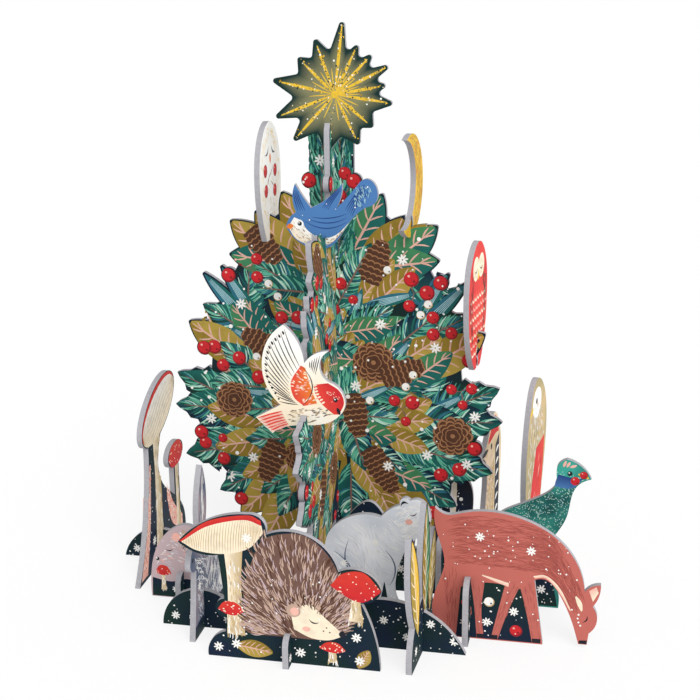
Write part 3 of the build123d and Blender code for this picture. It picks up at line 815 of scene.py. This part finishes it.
def seen_directly(shade):
    """1 for camera, mirror and see-through rays, and 0 for rays that only carry light."""
    camera, mirror, clear = (shade.node("LightPath", output="Is %s Ray" % kind)
                             for kind in ("Camera", "Glossy", "Transmission"))
    return camera.math("MAXIMUM", mirror).math("MAXIMUM", clear)


def studio_sky():
    """A sky that is white where it is seen and dimmer as a light."""
    shade = Shade(bpy.data.worlds.new("studio"))
    strength = SKY_LIGHT + seen_directly(shade) * (1.0 - SKY_LIGHT)
    sky = shade.node("Background", None, {"Color": WHITE, "Strength": strength})
    shade.node("OutputWorld", None, {"Surface": sky})
    return shade.owner


def hang_lamps(scene):
    """Two broad lamps, of which only the first casts shadows."""
    for name, (toward, strength, softness, shadows) in LAMPS.items():
        lamp = bpy.data.lights.new(name, "SUN")
        lamp.angle = math.radians(softness)
        lamp.energy = strength
        lamp.use_shadow = shadows
        holder = bpy.data.objects.new(name, lamp)
        holder.location = LAMP_PLACE
        holder.rotation_euler = Vector(toward).to_track_quat("-Z", "Y").to_euler()
        scene.collection.objects.link(holder)


def floor_material():
    """A white floor: what the camera sees is part glow and part lit white, so shadows stay soft and pale."""
    shade = Shade(bpy.data.materials.new("studio_floor"))
    lit = shade.node("BsdfDiffuse", None, {"Color": (*tint("floor"), 1.0)})
    glow = shade.node("Emission", None, {"Color": WHITE, "Strength": 1.0})
    both = shade.node("MixShader", None, {0: seen_directly(shade) * FLOOR_GLOW, 1: lit, 2: glow})
    shade.node("OutputMaterial", None, {"Surface": both})
    return shade.owner


def lay_floor(scene):
    """One round face on the ground."""
    angle = np.linspace(0, 2 * np.pi, FLOOR_SIDES + 1)[:-1]
    ring = [(*v, 0.0) for v in (FLOOR_RADIUS * rays(angle)).tolist()]
    mesh = bpy.data.meshes.new("floor")
    mesh.from_pydata(ring, [], [list(range(FLOOR_SIDES))])
    mesh.materials.append(floor_material())
    floor = bpy.data.objects.new("floor", mesh)
    scene.collection.objects.link(floor)


class CALENDAR_OT_stage(bpy.types.Operator):
    """Make the camera, the white sky, the soft lamps and the floor"""
    bl_idname = "calendar.stage"
    bl_label = "Stage"

    def execute(self, context):
        scene = context.scene
        scene.view_settings.view_transform = "Standard"
        stand_camera(scene)
        scene.world = studio_sky()
        hang_lamps(scene)
        lay_floor(scene)
        return {"FINISHED"}


# Ornaments

def star_drawing(s):
    """Rings between the centre and the rays darken to the rim, under a foil stroke along each ray."""
    angle = np.radians([a for a, _ in STAR_TIPS])
    reach = STAR_RADIUS * np.array([r for _, r in STAR_TIPS])
    tips = reach[:, None] * rays(angle)
    between = STAR_VALLEY * rays((angle + np.append(angle[1:], angle[0] + 2 * np.pi)) / 2)
    rim = np.stack([tips * 0.88, between * 0.98], 1).reshape(-1, 2)
    rim = np.vstack([rim, rim[:1]])
    t = np.linspace(0, len(rim) - 1, 8 * (len(rim) - 1) + 1)
    rim = np.stack([np.interp(t, np.arange(len(rim)), rim[:, k]) for k in (0, 1)], -1)
    share = np.linspace(0.03, 1.0, 12)[:, None, None]
    blend = share ** 2.6
    shades = np.broadcast_to((1 - blend) * tint("star_heart") + blend * tint("star_rim"), (12, len(rim), 3))
    rings = (share * rim).reshape(-1, 2)
    quads = ladder(12, len(rim))
    s.patch(rings, quads[s.inside(rings[quads]).all(1)], shades.reshape(-1, 3))
    s.strokes(tips * 0.06, tips * 0.84, 1.6, "gold", 0.0, 5, foil=0.8)
    s.strokes(between * 0.10, between * 0.62, 0.6, "gold", 0.0, 4, foil=0.8)
    s.dots((0, 0), 2.0, "gold", foil=0.8)
    along = s.rng.integers(0, len(tips), 420)
    grit = tips[along] * s.rng.uniform(0.12, 0.86, (420, 1)) + s.rng.normal(0, 0.7, (420, 2))
    shades = s.pick(("gold", "cream", "gold_dark", "star_heart", "star_rim"), 420)
    s.dots(grit, s.rng.uniform(0.2, 0.5, 420), shades, 6, foil=0.6)
    s.specks(26, (-34, -30), (34, 34), (0.3, 0.55))


def bluebird_drawing(s):
    """A pale belly under blue feathers drawn with dark lines."""
    belly = [(-41, 45), (-31, 40), (-21, 26), (-2, 16), (20, 21), (42, 42)], \
            [(-50, 31), (-41, 16), (-28, 8), (-10, 4), (13, 9), (42, 41)]
    s.band(*belly, "snow", "cream")
    s.fur(*belly, 70, 4.2, 1.0, ("cone_light", "brown", "gill"), jitter=0.12)
    s.dots((-34, 35), 7.0, "snow", 16)
    s.strokes((-43, 33), (-52, 30.5), 8.0, "orange", steps=4, clip=False)
    s.dots((-33, 36), 3.2, "coal")
    # Painted highlight: a white glint in the eye
    s.dots((-34, 37), 1.0, "snow", 8)
    for a, b, count, spread in (((-30, 55), (-39, 84), 4, (12, 0)), ((6, 58), (28, 88), 5, (12, -4)),
                                ((40, 52), (64, 92), 6, (13, -12))):
        shift = np.linspace(-0.45, 0.45, count)[:, None] * np.array(spread)
        s.strokes(np.add(a, shift), np.add(b, shift * 0.5), 1.6, "blue_dark", 0.03, 5)
    for lift in (0, 6, 12):
        s.strokes((-26 + lift, 40 + lift / 2), (36, 40 + lift), 1.5, "blue_dark", -0.16 + lift * 0.007, 8)
    s.fur([(44, 66), (56, 90)], [(58, 58), (74, 86)], 70, 5.5, 1.1, ("blue_dark", "blue_line"), lean=40)
    s.specks(16, (-45, 20), (75, 95), (0.2, 0.45))


def finch_drawing(s):
    """Pale fan wings with dark lines, a red shoulder and head, a dashed belly and a striped tail."""
    root = smooth([(-3, 63), (-13, 49), (-11, 34), (-5, 28)], 15)
    rim = smooth([(-16, 96), (-31, 80), (-34, 54), (-22, 30)], 15)
    s.strokes(root, rim, 1.0, "coal", 0.03, 4)
    notch = (rim[1:] + rim[:-1]) / 2
    s.strokes(notch * 0.9 + (root[1:] + root[:-1]) / 2 * 0.1, notch, 2.0, "coal")
    s.strokes(smooth([(6, 62), (10, 57), (16, 52)], 8), smooth([(6, 68), (14, 73), (21, 74)], 8), 0.9, "coal")
    shoulder = [(-2, 64), (-11, 49), (-9, 35), (0, 27)], [(2, 62), (5, 50), (8, 40), (12, 30)]
    s.band(*shoulder, "rose", "orange")
    s.fur(*shoulder, 46, 3.0, 1.2, ("cream", "pink"), lean=80, jitter=0.1)
    s.strokes((-2, 64), (-1, 27), 1.0, "coal", 0.26, 8)
    s.band([(22, 49.2), (32, 42.6), (36, 32), (31.6, 21)], [(9, 47), (11, 38), (17, 29), (27, 20.6)],
           "berry", "rose")
    s.strokes(smooth([(9, 46), (11, 38), (16, 30)], 7), smooth([(12, 47), (14, 39), (19, 32)], 7),
              1.8, "cream")
    s.fur([(22, 46), (33, 38)], [(18, 40), (28, 28)], 16, 1.6, 0.7, ("pink", "cream"), jitter=0.6)
    s.dots((28.5, 34), 2.0, "coal")
    # Painted highlight: a white glint in the eye
    s.dots((28, 34.6), 0.7, "snow", 6)
    s.strokes((30, 27), (32.2, 20.8), 3.4, "coal", clip=False)
    s.fur([(-18, 22), (0, 24), (16, 27)], [(-14, 11), (6, 12), (24, 20)],
          80, 3.0, 0.75, ("coal", "brown", "gill"), jitter=0.1)
    ends = smooth([(-42, 13.5), (-36, 7), (-29.5, 1.5)], 12)
    shades = np.array([tint(n) for n in ("rose", "pink")])[np.arange(12) % 2]
    s.strokes(smooth([(-20, 21), (-17, 14), (-14, 9)], 12), ends, 2.0, shades, 0.0, 4)


def pale_owl_drawing(s):
    """Gold dashes round a white face with sleeping eyes, and a sprig of berries."""
    for side in (-1, 1):
        edge = [(4 + side * x, z) for x, z in ((16, 16), (26, 36), (29, 56), (22, 82), (4, 95))]
        inner = [(4 + side * x, z) for x, z in ((8, 16), (16, 36), (17, 56), (14, 78), (3, 88))]
        s.fur(edge, inner, 110, 4.0, 0.6, ("gold", "cream", "cream"), jitter=0.12)
        s.closed_eye((4 + side * 10, 76), 12, -side * 30)
    s.strokes((4, 73), (4, 65), 5.0, "orange")
    s.fur([(-8, 56), (4, 60), (16, 56)], [(-8, 14), (4, 10), (16, 14)],
          90, 3.5, 0.7, ("bear", "gill"), lean=-90)
    s.strokes([(-6, 50), (2, 56), (4, 50)], [(14, 62), (-8, 46), (14, 44)], 0.9, "twig")
    s.berries([(-12, 60), (19, 57), (-11, 43), (17, 40)], 5.6)
    s.dots([(0, 13), (8, 13)], 2.4, "coal", 8)


def moon_drawing(s):
    """Foil strokes along the crescent."""
    turn = np.radians(np.linspace(-62, 78, 9))
    outer, inner = 25.6 * rays(turn) + (0, 27), 24.4 * rays(turn * 0.86) + (-13, 29)
    s.fur(outer, inner, 420, 3.4, 0.7, ("gold", "gold", "gold_dark", "gold_dark", "orange"),
          jitter=0.2, foil=0.7)


def red_owl_drawing(s):
    """A pale face over rows of round feathers."""
    for row in range(7):
        across = np.arange(-3, 4) * 7.5 + (row % 2) * 3.7
        s.dots(np.stack([across, np.full(7, 58 - row * 7.2)], -1), 3.4, "pink" if row % 2 else "cream", 10)
        s.dots(np.stack([across, np.full(7, 59.5 - row * 7.2)], -1), 3.2, "rose", 10)
    for side in (-1, 1):
        s.fur([(side * 16, 84), (side * 26, 60), (side * 21, 26)],
              [(side * 14, 70), (side * 18, 52), (side * 15, 26)],
              60, 7, 1.1, ("berry_dark", "cone"), jitter=0.1)
        s.dots((side * 8.5, 80), 9.5, "cream", 18)
        s.fur([(side * 2, 86), (side * 16, 80)], [(side * 4, 74), (side * 13, 76)],
              24, 3, 0.6, ("gill",), away=(side * 8, 80))
        s.closed_eye((side * 8, 79), 8, -side * 12)
    s.strokes((0, 78), (0, 70), 4.0, "gold", steps=4)


# Ground figures

def mushroom(s, top, under, left, right):
    """A mushroom: a stem between its left and right edges, and a dotted cap between its top and underside."""
    s.band(left, right, "cream", "gill")
    s.fur(left, right, 30, 4, 0.7, ("gill", "snow"), jitter=0.1)
    s.band(top, under, "cap", "berry")
    s.fur(top, under, 16, 1.2, 0.9, ("pink", "cream"), jitter=2.0)


def gills(s, rim, under, red, pale):
    """The open side of a cap: a pale ink and cream with gill lines, and a red rim along its top."""
    s.band(rim, under, pale, "cream")
    s.strokes(smooth(under, 40)[1:-1], smooth(rim, 40)[1:-1], 0.5, "gill", 0.03, 4)
    s.band(red, rim, "cap", "berry", across=3)


def ground(s, top, base):
    """Dark ground between two curves."""
    s.band(top, base, "night", "forest")


def snowfall(s, flakes, low, high, count, radius):
    """Snowflakes at chosen places and small dots at random ones."""
    s.snowflakes(flakes, radius)
    s.specks(count, low, high, (0.18, 0.5))


def hedgehog_drawing(s):
    """A sleeping hedgehog under a tall open cap, with small mushrooms, leaves and snow on a dark bank."""
    s.band([(-40, 74), (-38.5, 50), (-39.5, 17)], [(-28, 76), (-29.5, 50), (-28, 16)], "cream", "gill")
    s.fur([(-39, 70), (-38, 20)], [(-30, 70), (-30, 18)], 60, 4, 0.6, ("gill", "snow"), jitter=0.1)
    gills(s, [(-67.6, 78.2), (-50, 90), (-27, 96), (-15.2, 93)],
          [(-67, 77.6), (-57, 72.8), (-40, 72), (-24, 77), (-14.2, 88)],
          [(-69.2, 78.4), (-50, 93.4), (-25, 99.3), (-15.6, 96.3)], "cream")
    body = [(-27, 22), (-28, 48), (-20, 74), (-12, 85.5), (8, 89.4), (22, 82), (32.5, 66), (42, 36)], \
           [(-20, 18), (-10, 18), (-2, 18), (6, 18), (16, 18), (26, 19), (34, 23), (41, 33)]
    s.band(*body, "brown", "brown", 40, 8)
    s.fur(*body, 1300, 6.5, 0.75, ("brown_light", "brown_light", "cone", "lilac", "brown"),
          jitter=0.13, away=(9, 12))
    s.band([(2, 36), (14, 42), (25, 33), (35, 24)], [(4, 24), (15, 19), (26, 18.5), (35, 22)],
           "cream", "cream", 20, 6)
    s.fur([(0, 40), (14, 46), (26, 36)], [(0, 30), (12, 40), (24, 32)],
          80, 6, 0.9, ("brown_light", "cone"), jitter=0.2, away=(14, 26))
    s.dots((4, 37), 4.6, "brown_light", 14)
    s.dots((4.6, 36.6), 2.8, "pink", 12)
    s.closed_eye((17, 31), 6.5, -16)
    s.dots((35, 23.4), 2.2, "coal")
    s.dots([(25, 27), (23, 24.6), (27, 24)], 0.6, "brown", 6)
    s.dots([(12, 25)], 2.6, "pink", 12, 0.7)
    for curves in (([(28, 57), (36, 65.4), (49, 66.8), (59.6, 55.6)],
                    [(28.5, 56), (40, 48.6), (49, 47), (59, 54)], [(41, 52), (40.5, 44), (39, 33)],
                    [(47, 51), (47, 44), (48.5, 33)]),
                    ([(-45.5, 34), (-41, 39), (-34, 39), (-28, 34)],
                     [(-45, 33.4), (-40, 30.5), (-34, 30), (-28.5, 33)],
                     [(-39.5, 31), (-39.5, 24), (-40, 17)], [(-34.5, 31), (-34.5, 24), (-33.5, 16)]),
                     ([(20, 13), (25, 17), (32, 17), (37, 12.5)],
                      [(20.5, 12.4), (26, 10.4), (32, 10), (36.5, 12)], [(26, 10.6), (26, 7), (25.5, 3)],
                      [(31, 10.6), (31, 7), (32, 3)])):
        mushroom(s, *curves)
    s.leaf((-10, 6), -8, 25, 11)
    s.leaf((52, 14), 62, 15, 8)
    snowfall(s, [(-46, 7), (8, 8), (44, 22), (46, 6), (-25, 84), (-34, 10)], (-52, 2), (56, 60), 70, 3.4)


def bear_drawing(s):
    """Soft grey shading, dark gaps between the legs and a sleepy face."""
    s.fur([(-30, 62), (-10, 78), (12, 80), (34, 94)], [(-30, 6), (-8, 12), (10, 16), (40, 72)], 420, 9, 0.4,
          ("bear_shade", "snow", "bear"), lean=-75, jitter=0.12, bend=0.04)
    s.fur([(20, 90), (40, 95)], [(28, 62), (46, 76)], 200, 5, 0.5, ("snow", "snow", "bear"), jitter=0.2)
    for x, width, top in ((-14, 3.2, 24), (3, 2.6, 20), (13, 3.0, 26)):
        s.band([(x, top), (x - width, 10), (x - width * 1.2, 0.5)],
               [(x + 0.4, top), (x + width, 10), (x + width * 1.2, 0.5)], "night", "forest", 12, 3)
    s.strokes([(-28, 50), (-6, 24), (14, 54)], [(-14, 14), (-16, 60), (18, 24)], 1.2, "slate", 0.2, 8)
    s.strokes((26.5, 93), (32.5, 95.5), 2.0, "coal", 0.35, 6)
    s.closed_eye((36.5, 87), 6, 24)
    s.dots((33, 80), 3.0, "pink", 12, 0.8)
    s.dots((48, 80.5), 2.1, "coal")
    s.strokes((47, 78), (41, 75.5), 0.8, "coal", -0.15, 5)
    snowfall(s, [(-20, 40), (6, 60)], (-30, 5), (46, 92), 46, 3.2)


def deer_drawing(s):
    """A coat of wavy lines, pale strips, and a dark ground with berries and snow between the legs."""
    s.fur([(-17, 93), (8, 94), (40, 91), (58, 82), (78, 46)],
          [(-15, 58), (10, 58), (40, 56), (54, 54), (70, 34)],
          620, 12, 0.45, ("deer_line",), jitter=0.06, bend=0.1)
    s.fur([(-18, 56), (-15, 8)], [(-8, 56), (-9, 8)], 40, 9, 0.5, ("deer_line",), jitter=0.05)
    s.band([(-5, 40), (4, 44), (20, 45), (38, 42)], [(-8, 0.8), (8, 0.8), (28, 0.8), (47, 0.8)],
           "forest", "night", 24, 8)
    for left, right in (([(2, 46), (5, 24), (7, 0.8)], [(12, 46), (10, 24), (12, 0.8)]),
                        ([(27, 47), (22, 24), (17, 0.8)], [(38, 47), (29, 24), (22, 0.8)]),
                        ([(36, 48), (42, 24), (46.5, 0.8)], [(45.5, 48), (48.5, 24), (52.6, 0.8)])):
        s.band(left, right, "deer", "deer", 12, 3)
        s.fur(left, right, 18, 7, 0.5, ("deer_line",), jitter=0.05)
        s.band([left[-1], np.add(left[-1], (0, 3.4))], [right[-1], np.add(right[-1], (0, 3.4))],
               "coal", "coal", 4, 2)
    s.band([(10, 51), (20, 48.5), (29, 46)], [(10, 50), (20, 46), (29, 43)], "cream", "pink", 14, 3)
    s.band([(46, 53), (55, 54), (65, 45), (73, 29)], [(47, 51.4), (55, 51.8), (64, 42.5), (72.5, 28)],
           "cream", "pink", 20, 3)
    s.band([(85, 45), (90, 48.5)], [(88, 37), (91.6, 44)], "pink", "cream", 6, 3)
    s.strokes((76, 40), (80.5, 29), 3.4, "cream", 0.05, 6)
    s.closed_eye((83, 23), 6, 62)
    s.band([(79.2, 3.4), (79.4, 6.0)], [(84.8, 3.4), (85.2, 6.4)], "coal", "coal", 4, 3)
    s.dots([(78.5, 26), (78, 23), (78.6, 20), (80, 17.6)], 0.75, "snow", 8)
    s.berries([(35, 9), (-2.5, 28)], [4.6, 2.2])
    s.berries([(15.5, 30)], 3.8, red=False)
    snowfall(s, [(14, 14), (33, 24), (-2, 12), (8, 80), (44, 72)], (-18, 3), (80, 92), 90, 3.6)


def dormouse_drawing(s):
    """A pink-grey coat, a striped brown back and a red cap on a dark base."""
    s.fur([(-32, 46), (-12, 84), (12, 94), (27, 80)], [(-30, 26), (-6, 46), (10, 50), (26, 40)], 170, 6, 0.8,
          ("lilac", "snow", "bear_shade", "pink"), lean=-50)
    back = [(4, 94), (22, 84), (28, 56), (29, 34)], [(2, 76), (10, 66), (14, 48), (16, 30)]
    s.band(*back, "brown_light", "gill")
    s.fur(*back, 130, 6, 1.1, ("brown", "cone", "cream"), lean=-70, jitter=0.15)
    ground(s, [(-38, 26), (-14, 22), (8, 27), (31, 22)], [(-39, 1), (-14, 1), (8, 1), (30.5, 1)])
    s.closed_eye((-14, 66), 9, 10)
    s.dots((-4, 83), 6.0, "pink", 14)
    s.dots((-30, 52), 2.4, "coal")
    mushroom(s, [(-34, 34), (-28, 43), (-18, 42), (-13, 33)], [(-33, 33), (-26, 30), (-20, 30), (-14, 32)],
             [(-26, 31), (-26, 22), (-27, 10)], [(-21, 31), (-21, 22), (-20, 10)])
    snowfall(s, [(-8, 12), (20, 10)], (-36, 3), (30, 90), 30, 5)


def crested_bird_drawing(s):
    """Fine pale flecks over teal, a dark neck, orange wing lines and berries at the beak."""
    s.specks(1400, (-20, 20), (34, 92), (0.14, 0.30), "frost")
    s.specks(700, (-20, 20), (34, 92), (0.14, 0.34), "blue_line")
    s.band([(16, 90), (25, 88), (31, 88)], [(14, 82), (22, 81), (26, 82)], "blue_dark", "blue", 12, 4)
    s.strokes([(-14, 58), (-9, 57), (-4, 57)], [(10, 46), (11, 48), (12, 51)], 1.1, "orange", -0.08, 6)
    s.dots((23, 91), 1.6, "coal")
    # Painted highlight: a white glint in the eye
    s.dots((22.6, 91.4), 0.5, "snow", 6)
    s.strokes([(19, 95), (21, 95), (23, 95)], [(20.5, 99), (23, 98.4), (27, 96.6)], 1.8, "pink")
    s.strokes((28, 91), (34.5, 88.6), 2.6, "gold")
    s.berries([(26.6, 86), (31.4, 90.4)], [3.2, 2.5])
    ground(s, [(-17, 18), (0, 22), (15, 18)], [(-18.4, 1), (0, 1), (18.4, 1)])
    snowfall(s, [(-10, 9), (8, 12)], (-18, 2), (18, 18), 30, 3)


def badger_drawing(s):
    """Dark fur with a white stripe down the face."""
    s.fur([(-20, 50), (-4, 94), (16, 60)], [(-18, 8), (0, 8), (18, 8)],
          200, 8, 0.8, ("night", "bear_shade", "coal"), lean=-80)
    s.band([(-4, 94), (-5, 70), (-3, 52)], [(4, 94), (4, 70), (3, 52)], "snow", "cream", 12, 3)
    s.dots([(-9, 70), (9, 70)], 2.2, "snow")
    s.dots((0, 50), 3.4, "coal")
    snowfall(s, [(-12, 22), (10, 34)], (-20, 4), (20, 88), 40, 4)


def sprig_drawing(s):
    """Gold and olive blades over a dark base."""
    inks = (("olive_light", "gold"), ("olive", "green_leaf"), ("olive_light", "olive"))
    for (place, direction, share), pair in zip(SPRIG_BLADES, inks):
        root = np.array([place * SPRIG_BASE, SPRIG_ROOT])
        length = share * SPRIG_LEAF
        tip = root + length * rays(math.radians(direction))
        s.leaf(tip, direction, length, SPRIG_BREADTH, pair, "cream")
    snowfall(s, [(-16, 8), (12, 9)], (-24, 2), (24, 26), 40, 2.6)


def hare_drawing(s):
    """Grey-blue fur with pale ears and tail on a dark ground."""
    s.fur([(-14, 54), (6, 60), (24, 44), (36, 22)], [(-12, 10), (4, 10), (20, 10), (34, 8)], 420, 6.5, 0.7,
          ("bear", "snow", "bear_shade", "slate"), lean=-60)
    s.fur([(-2, 66), (6, 98)], [(6, 66), (8, 94)], 60, 7, 0.6, ("bear", "snow", "slate"), jitter=0.08)
    s.strokes((3, 66), (5.6, 93), 2.2, "snow", 0.03, 6)
    s.closed_eye((-8, 54), 5, 8)
    s.dots((-17.5, 50.5), 1.4, "coal")
    s.dots((33, 16), 4.5, "snow", 16)
    ground(s, [(-18, 8), (8, 10), (37, 7)], [(-19.4, 0.6), (8, 0.6), (37.6, 0.6)])
    snowfall(s, [(-8, 30), (16, 30)], (-18, 2), (36, 60), 30, 3)


def tall_mushroom_drawing(s):
    """An open tilted cap on a cream stem beside a small red one, over a dark bank with pink fields."""
    for left, right in (([(-35, 2), (-22.5, 28), (-16.5, 58)], [(-26, 2), (-18, 28), (-13.5, 58)]),
                        ([(8, 44), (16, 26), (30, 12)], [(8, 30), (14, 14), (30, 4)])):
        s.band(left, right, "pink", "pink", 16, 4)
        s.fur(left, right, 160, 1.3, 0.5, ("cream", "snow", "cap"), jitter=1.5)
    s.band([(-9, 76), (-8, 40), (-12, 3)], [(2, 76), (0, 40), (0, 3)], "cream", "gill")
    s.fur([(-8, 74), (-11, 6)], [(1, 74), (-1, 6)], 90, 5, 0.5, ("gill", "snow"), jitter=0.06)
    turn = np.radians(np.linspace(6, 186, 9))
    rim, under, red = (turned(rays(sign * turn) * size, 22, (2, 83)) for sign, size in
                       ((1, (25.6, 10.4)), (-1, (26.3, 12.7)), (1, (26.6, 12.9))))
    gills(s, rim, under, red, "snow")
    mushroom(s, [(12.6, 50.4), (17, 55.6), (24, 56.7), (31, 55.6), (35.4, 50.4)],
             [(12.6, 49.6), (17, 44.4), (24, 43.3), (31, 44.4), (35.4, 49.6)],
             [(22, 46), (22, 30), (21, 6)], [(26.5, 46), (26.5, 30), (27, 6)])
    snowfall(s, [(-14, 16), (10, 8), (-4, 10), (5, 62)], (-34, 2), (32, 70), 90, 2.6)


def tall_bird_drawing(s):
    """Grey-green plumage with fine flecks, a red wing and a pale face."""
    s.fur([(-13, 84), (-16, 50), (-13, 8)], [(9, 84), (14, 56), (8, 8)],
          620, 3.2, 0.5, ("star_heart", "gill", "bear_shade", "snow", "brown_light"), jitter=0.2)
    s.dots((-2, 88), 8.5, "snow", 18, 0.9)
    s.fur([(-9, 90), (6, 92)], [(-8, 80), (6, 82)], 60, 2.4, 0.4, ("bear_shade", "gill"), lean=-90)
    s.dots((-3, 89), 1.5, "coal")
    s.strokes((-9, 87), (-15, 84.5), 2.4, "gold")
    s.band([(-1, 64), (-9, 44), (-13, 16)], [(15.5, 66), (12.5, 44), (5, 14)], "berry", "cap")
    s.fur([(2, 60), (-11, 24)], [(13, 60), (4, 24)], 60, 5, 0.6, ("cap", "berry_dark", "pink"), jitter=0.1)
    ground(s, [(-14, 8), (0, 10), (11, 8)], [(-14.4, 1), (0, 1), (13, 1)])


def woodpecker_drawing(s):
    """A red crown, a gold-flecked breast and black wings with white bars."""
    breast = [(-14, 62), (-17, 36), (-14, 10)], [(4, 66), (4, 36), (4, 10)]
    s.band(*breast, "cream", "gill")
    s.fur(*breast, 420, 2.4, 0.6, ("gold", "gill", "cream", "brown"), jitter=0.4)
    s.band([(6, 74), (6, 40), (7, 8)], [(16, 80), (18, 40), (16.5, 8)], "coal", "night")
    for z in range(14, 72, 9):
        s.strokes((8, z), (15.5, z + 3), 3.0, "snow", 0.1, 4)
    s.band([(-14, 83), (-4, 92), (3, 97.5), (12, 90)], [(-13, 81), (-3, 82), (6, 83), (15, 82)],
           "cap", "berry")
    s.dots((-5, 77), 2.2, "coal")
    s.strokes((-14, 77.5), (-29, 77), 4.0, "coal", 0.0, 4, clip=False)
    ground(s, [(-15, 8), (0, 10), (17, 8)], [(-15.4, 1), (0, 1), (17.4, 1)])


def bank_drawing(s):
    """Snowflakes and dots over a dark bank or foot, spaced by its own size."""
    low, high = s.outline.min((0, 1)), s.outline.max((0, 1))
    size = high - low
    count = max(2, int(size[0] / 11))
    across = low[0] + size[0] * (np.arange(count) + 0.5) / count
    rise = low[1] + size[1] * np.where(np.arange(count) % 2, 0.58, 0.26)
    s.snowflakes(np.stack([across, rise], -1), 2.4 / s.unit)
    s.specks(int(size.prod() * s.unit ** 2 / 26), low, high, (0.2, 0.5))


DRAWINGS = {
    "star": star_drawing, "bluebird": bluebird_drawing, "finch": finch_drawing,
    "pale_owl": pale_owl_drawing, "crescent_moon": moon_drawing, "red_owl": red_owl_drawing,
    "hedgehog": hedgehog_drawing, "bear": bear_drawing, "deer": deer_drawing,
    "dormouse": dormouse_drawing, "crested_bird": crested_bird_drawing, "badger": badger_drawing,
    "leaf_sprig": sprig_drawing, "hare": hare_drawing, "tall_mushroom": tall_mushroom_drawing,
    "tall_bird": tall_bird_drawing, "woodpecker": woodpecker_drawing,
}


def print_cards(names):
    """Draw and build the print of each named card. The seed of its random marks comes from its name."""
    for name in names:
        sheet = Sheet(name, sum(map(ord, name)))
        DRAWINGS.get(name, bank_drawing)(sheet)
        sheet.build()


class CALENDAR_OT_ornaments(bpy.types.Operator):
    """Print the star, the birds, the owls and the crescent on the tree"""
    bl_idname = "calendar.ornaments"
    bl_label = "Ornaments"

    def execute(self, context):
        print_cards(("star", *HUNG))
        return {"FINISHED"}


class CALENDAR_OT_figures(bpy.types.Operator):
    """Print the animals, mushrooms and leaves on the ground"""
    bl_idname = "calendar.figures"
    bl_label = "Ground figures"

    def execute(self, context):
        print_cards([name for name in DRAWINGS if name not in ("star", *HUNG)])
        return {"FINISHED"}


class CALENDAR_OT_banks(bpy.types.Operator):
    """Print the mounds and the cross feet"""
    bl_idname = "calendar.banks"
    bl_label = "Mounds and feet"

    def execute(self, context):
        print_cards([name for name in CARDS if name not in DRAWINGS and "tree" not in name])
        return {"FINISHED"}


class CALENDAR_OT_boards(bpy.types.Operator):
    """Give every card its board and ground colour"""
    bl_idname = "calendar.boards"
    bl_label = "Boards"

    def execute(self, context):
        ink_material()
        for name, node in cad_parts.items():
            node.data.materials.clear()
            node.data.materials.append(card_material(name))
        return {"FINISHED"}


class CALENDAR_PT_panel(bpy.types.Panel):
    """The calendar's pieces in the sidebar"""
    bl_idname = "CALENDAR_PT_panel"
    bl_label = "Calendar"
    bl_space_type = "VIEW_3D"
    bl_region_type = "UI"
    bl_category = "Calendar"

    def draw(self, context):
        for operator in OPERATORS:
            self.layout.operator(operator.bl_idname)


OPERATORS = (CALENDAR_OT_stage, CALENDAR_OT_boards, CALENDAR_OT_tree, CALENDAR_OT_ornaments,
             CALENDAR_OT_figures, CALENDAR_OT_banks)
CLASSES = (CalendarInks, CalendarSizes, *OPERATORS, CALENDAR_PT_panel)


def register():
    """Add the classes and hang the properties on the scene."""
    for cls in CLASSES:
        bpy.utils.register_class(cls)
    bpy.types.Scene.calendar_inks = PointerProperty(type=CalendarInks)
    bpy.types.Scene.calendar_sizes = PointerProperty(type=CalendarSizes)


def unregister():
    """Take the properties and the classes away again."""
    del bpy.types.Scene.calendar_sizes
    del bpy.types.Scene.calendar_inks
    for cls in reversed(CLASSES):
        bpy.utils.unregister_class(cls)


def main():
    """Register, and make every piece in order."""
    register()
    for operator in OPERATORS:
        group, action = operator.bl_idname.split(".")
        getattr(getattr(bpy.ops, group), action)()


if __name__ == "__main__":
    main()
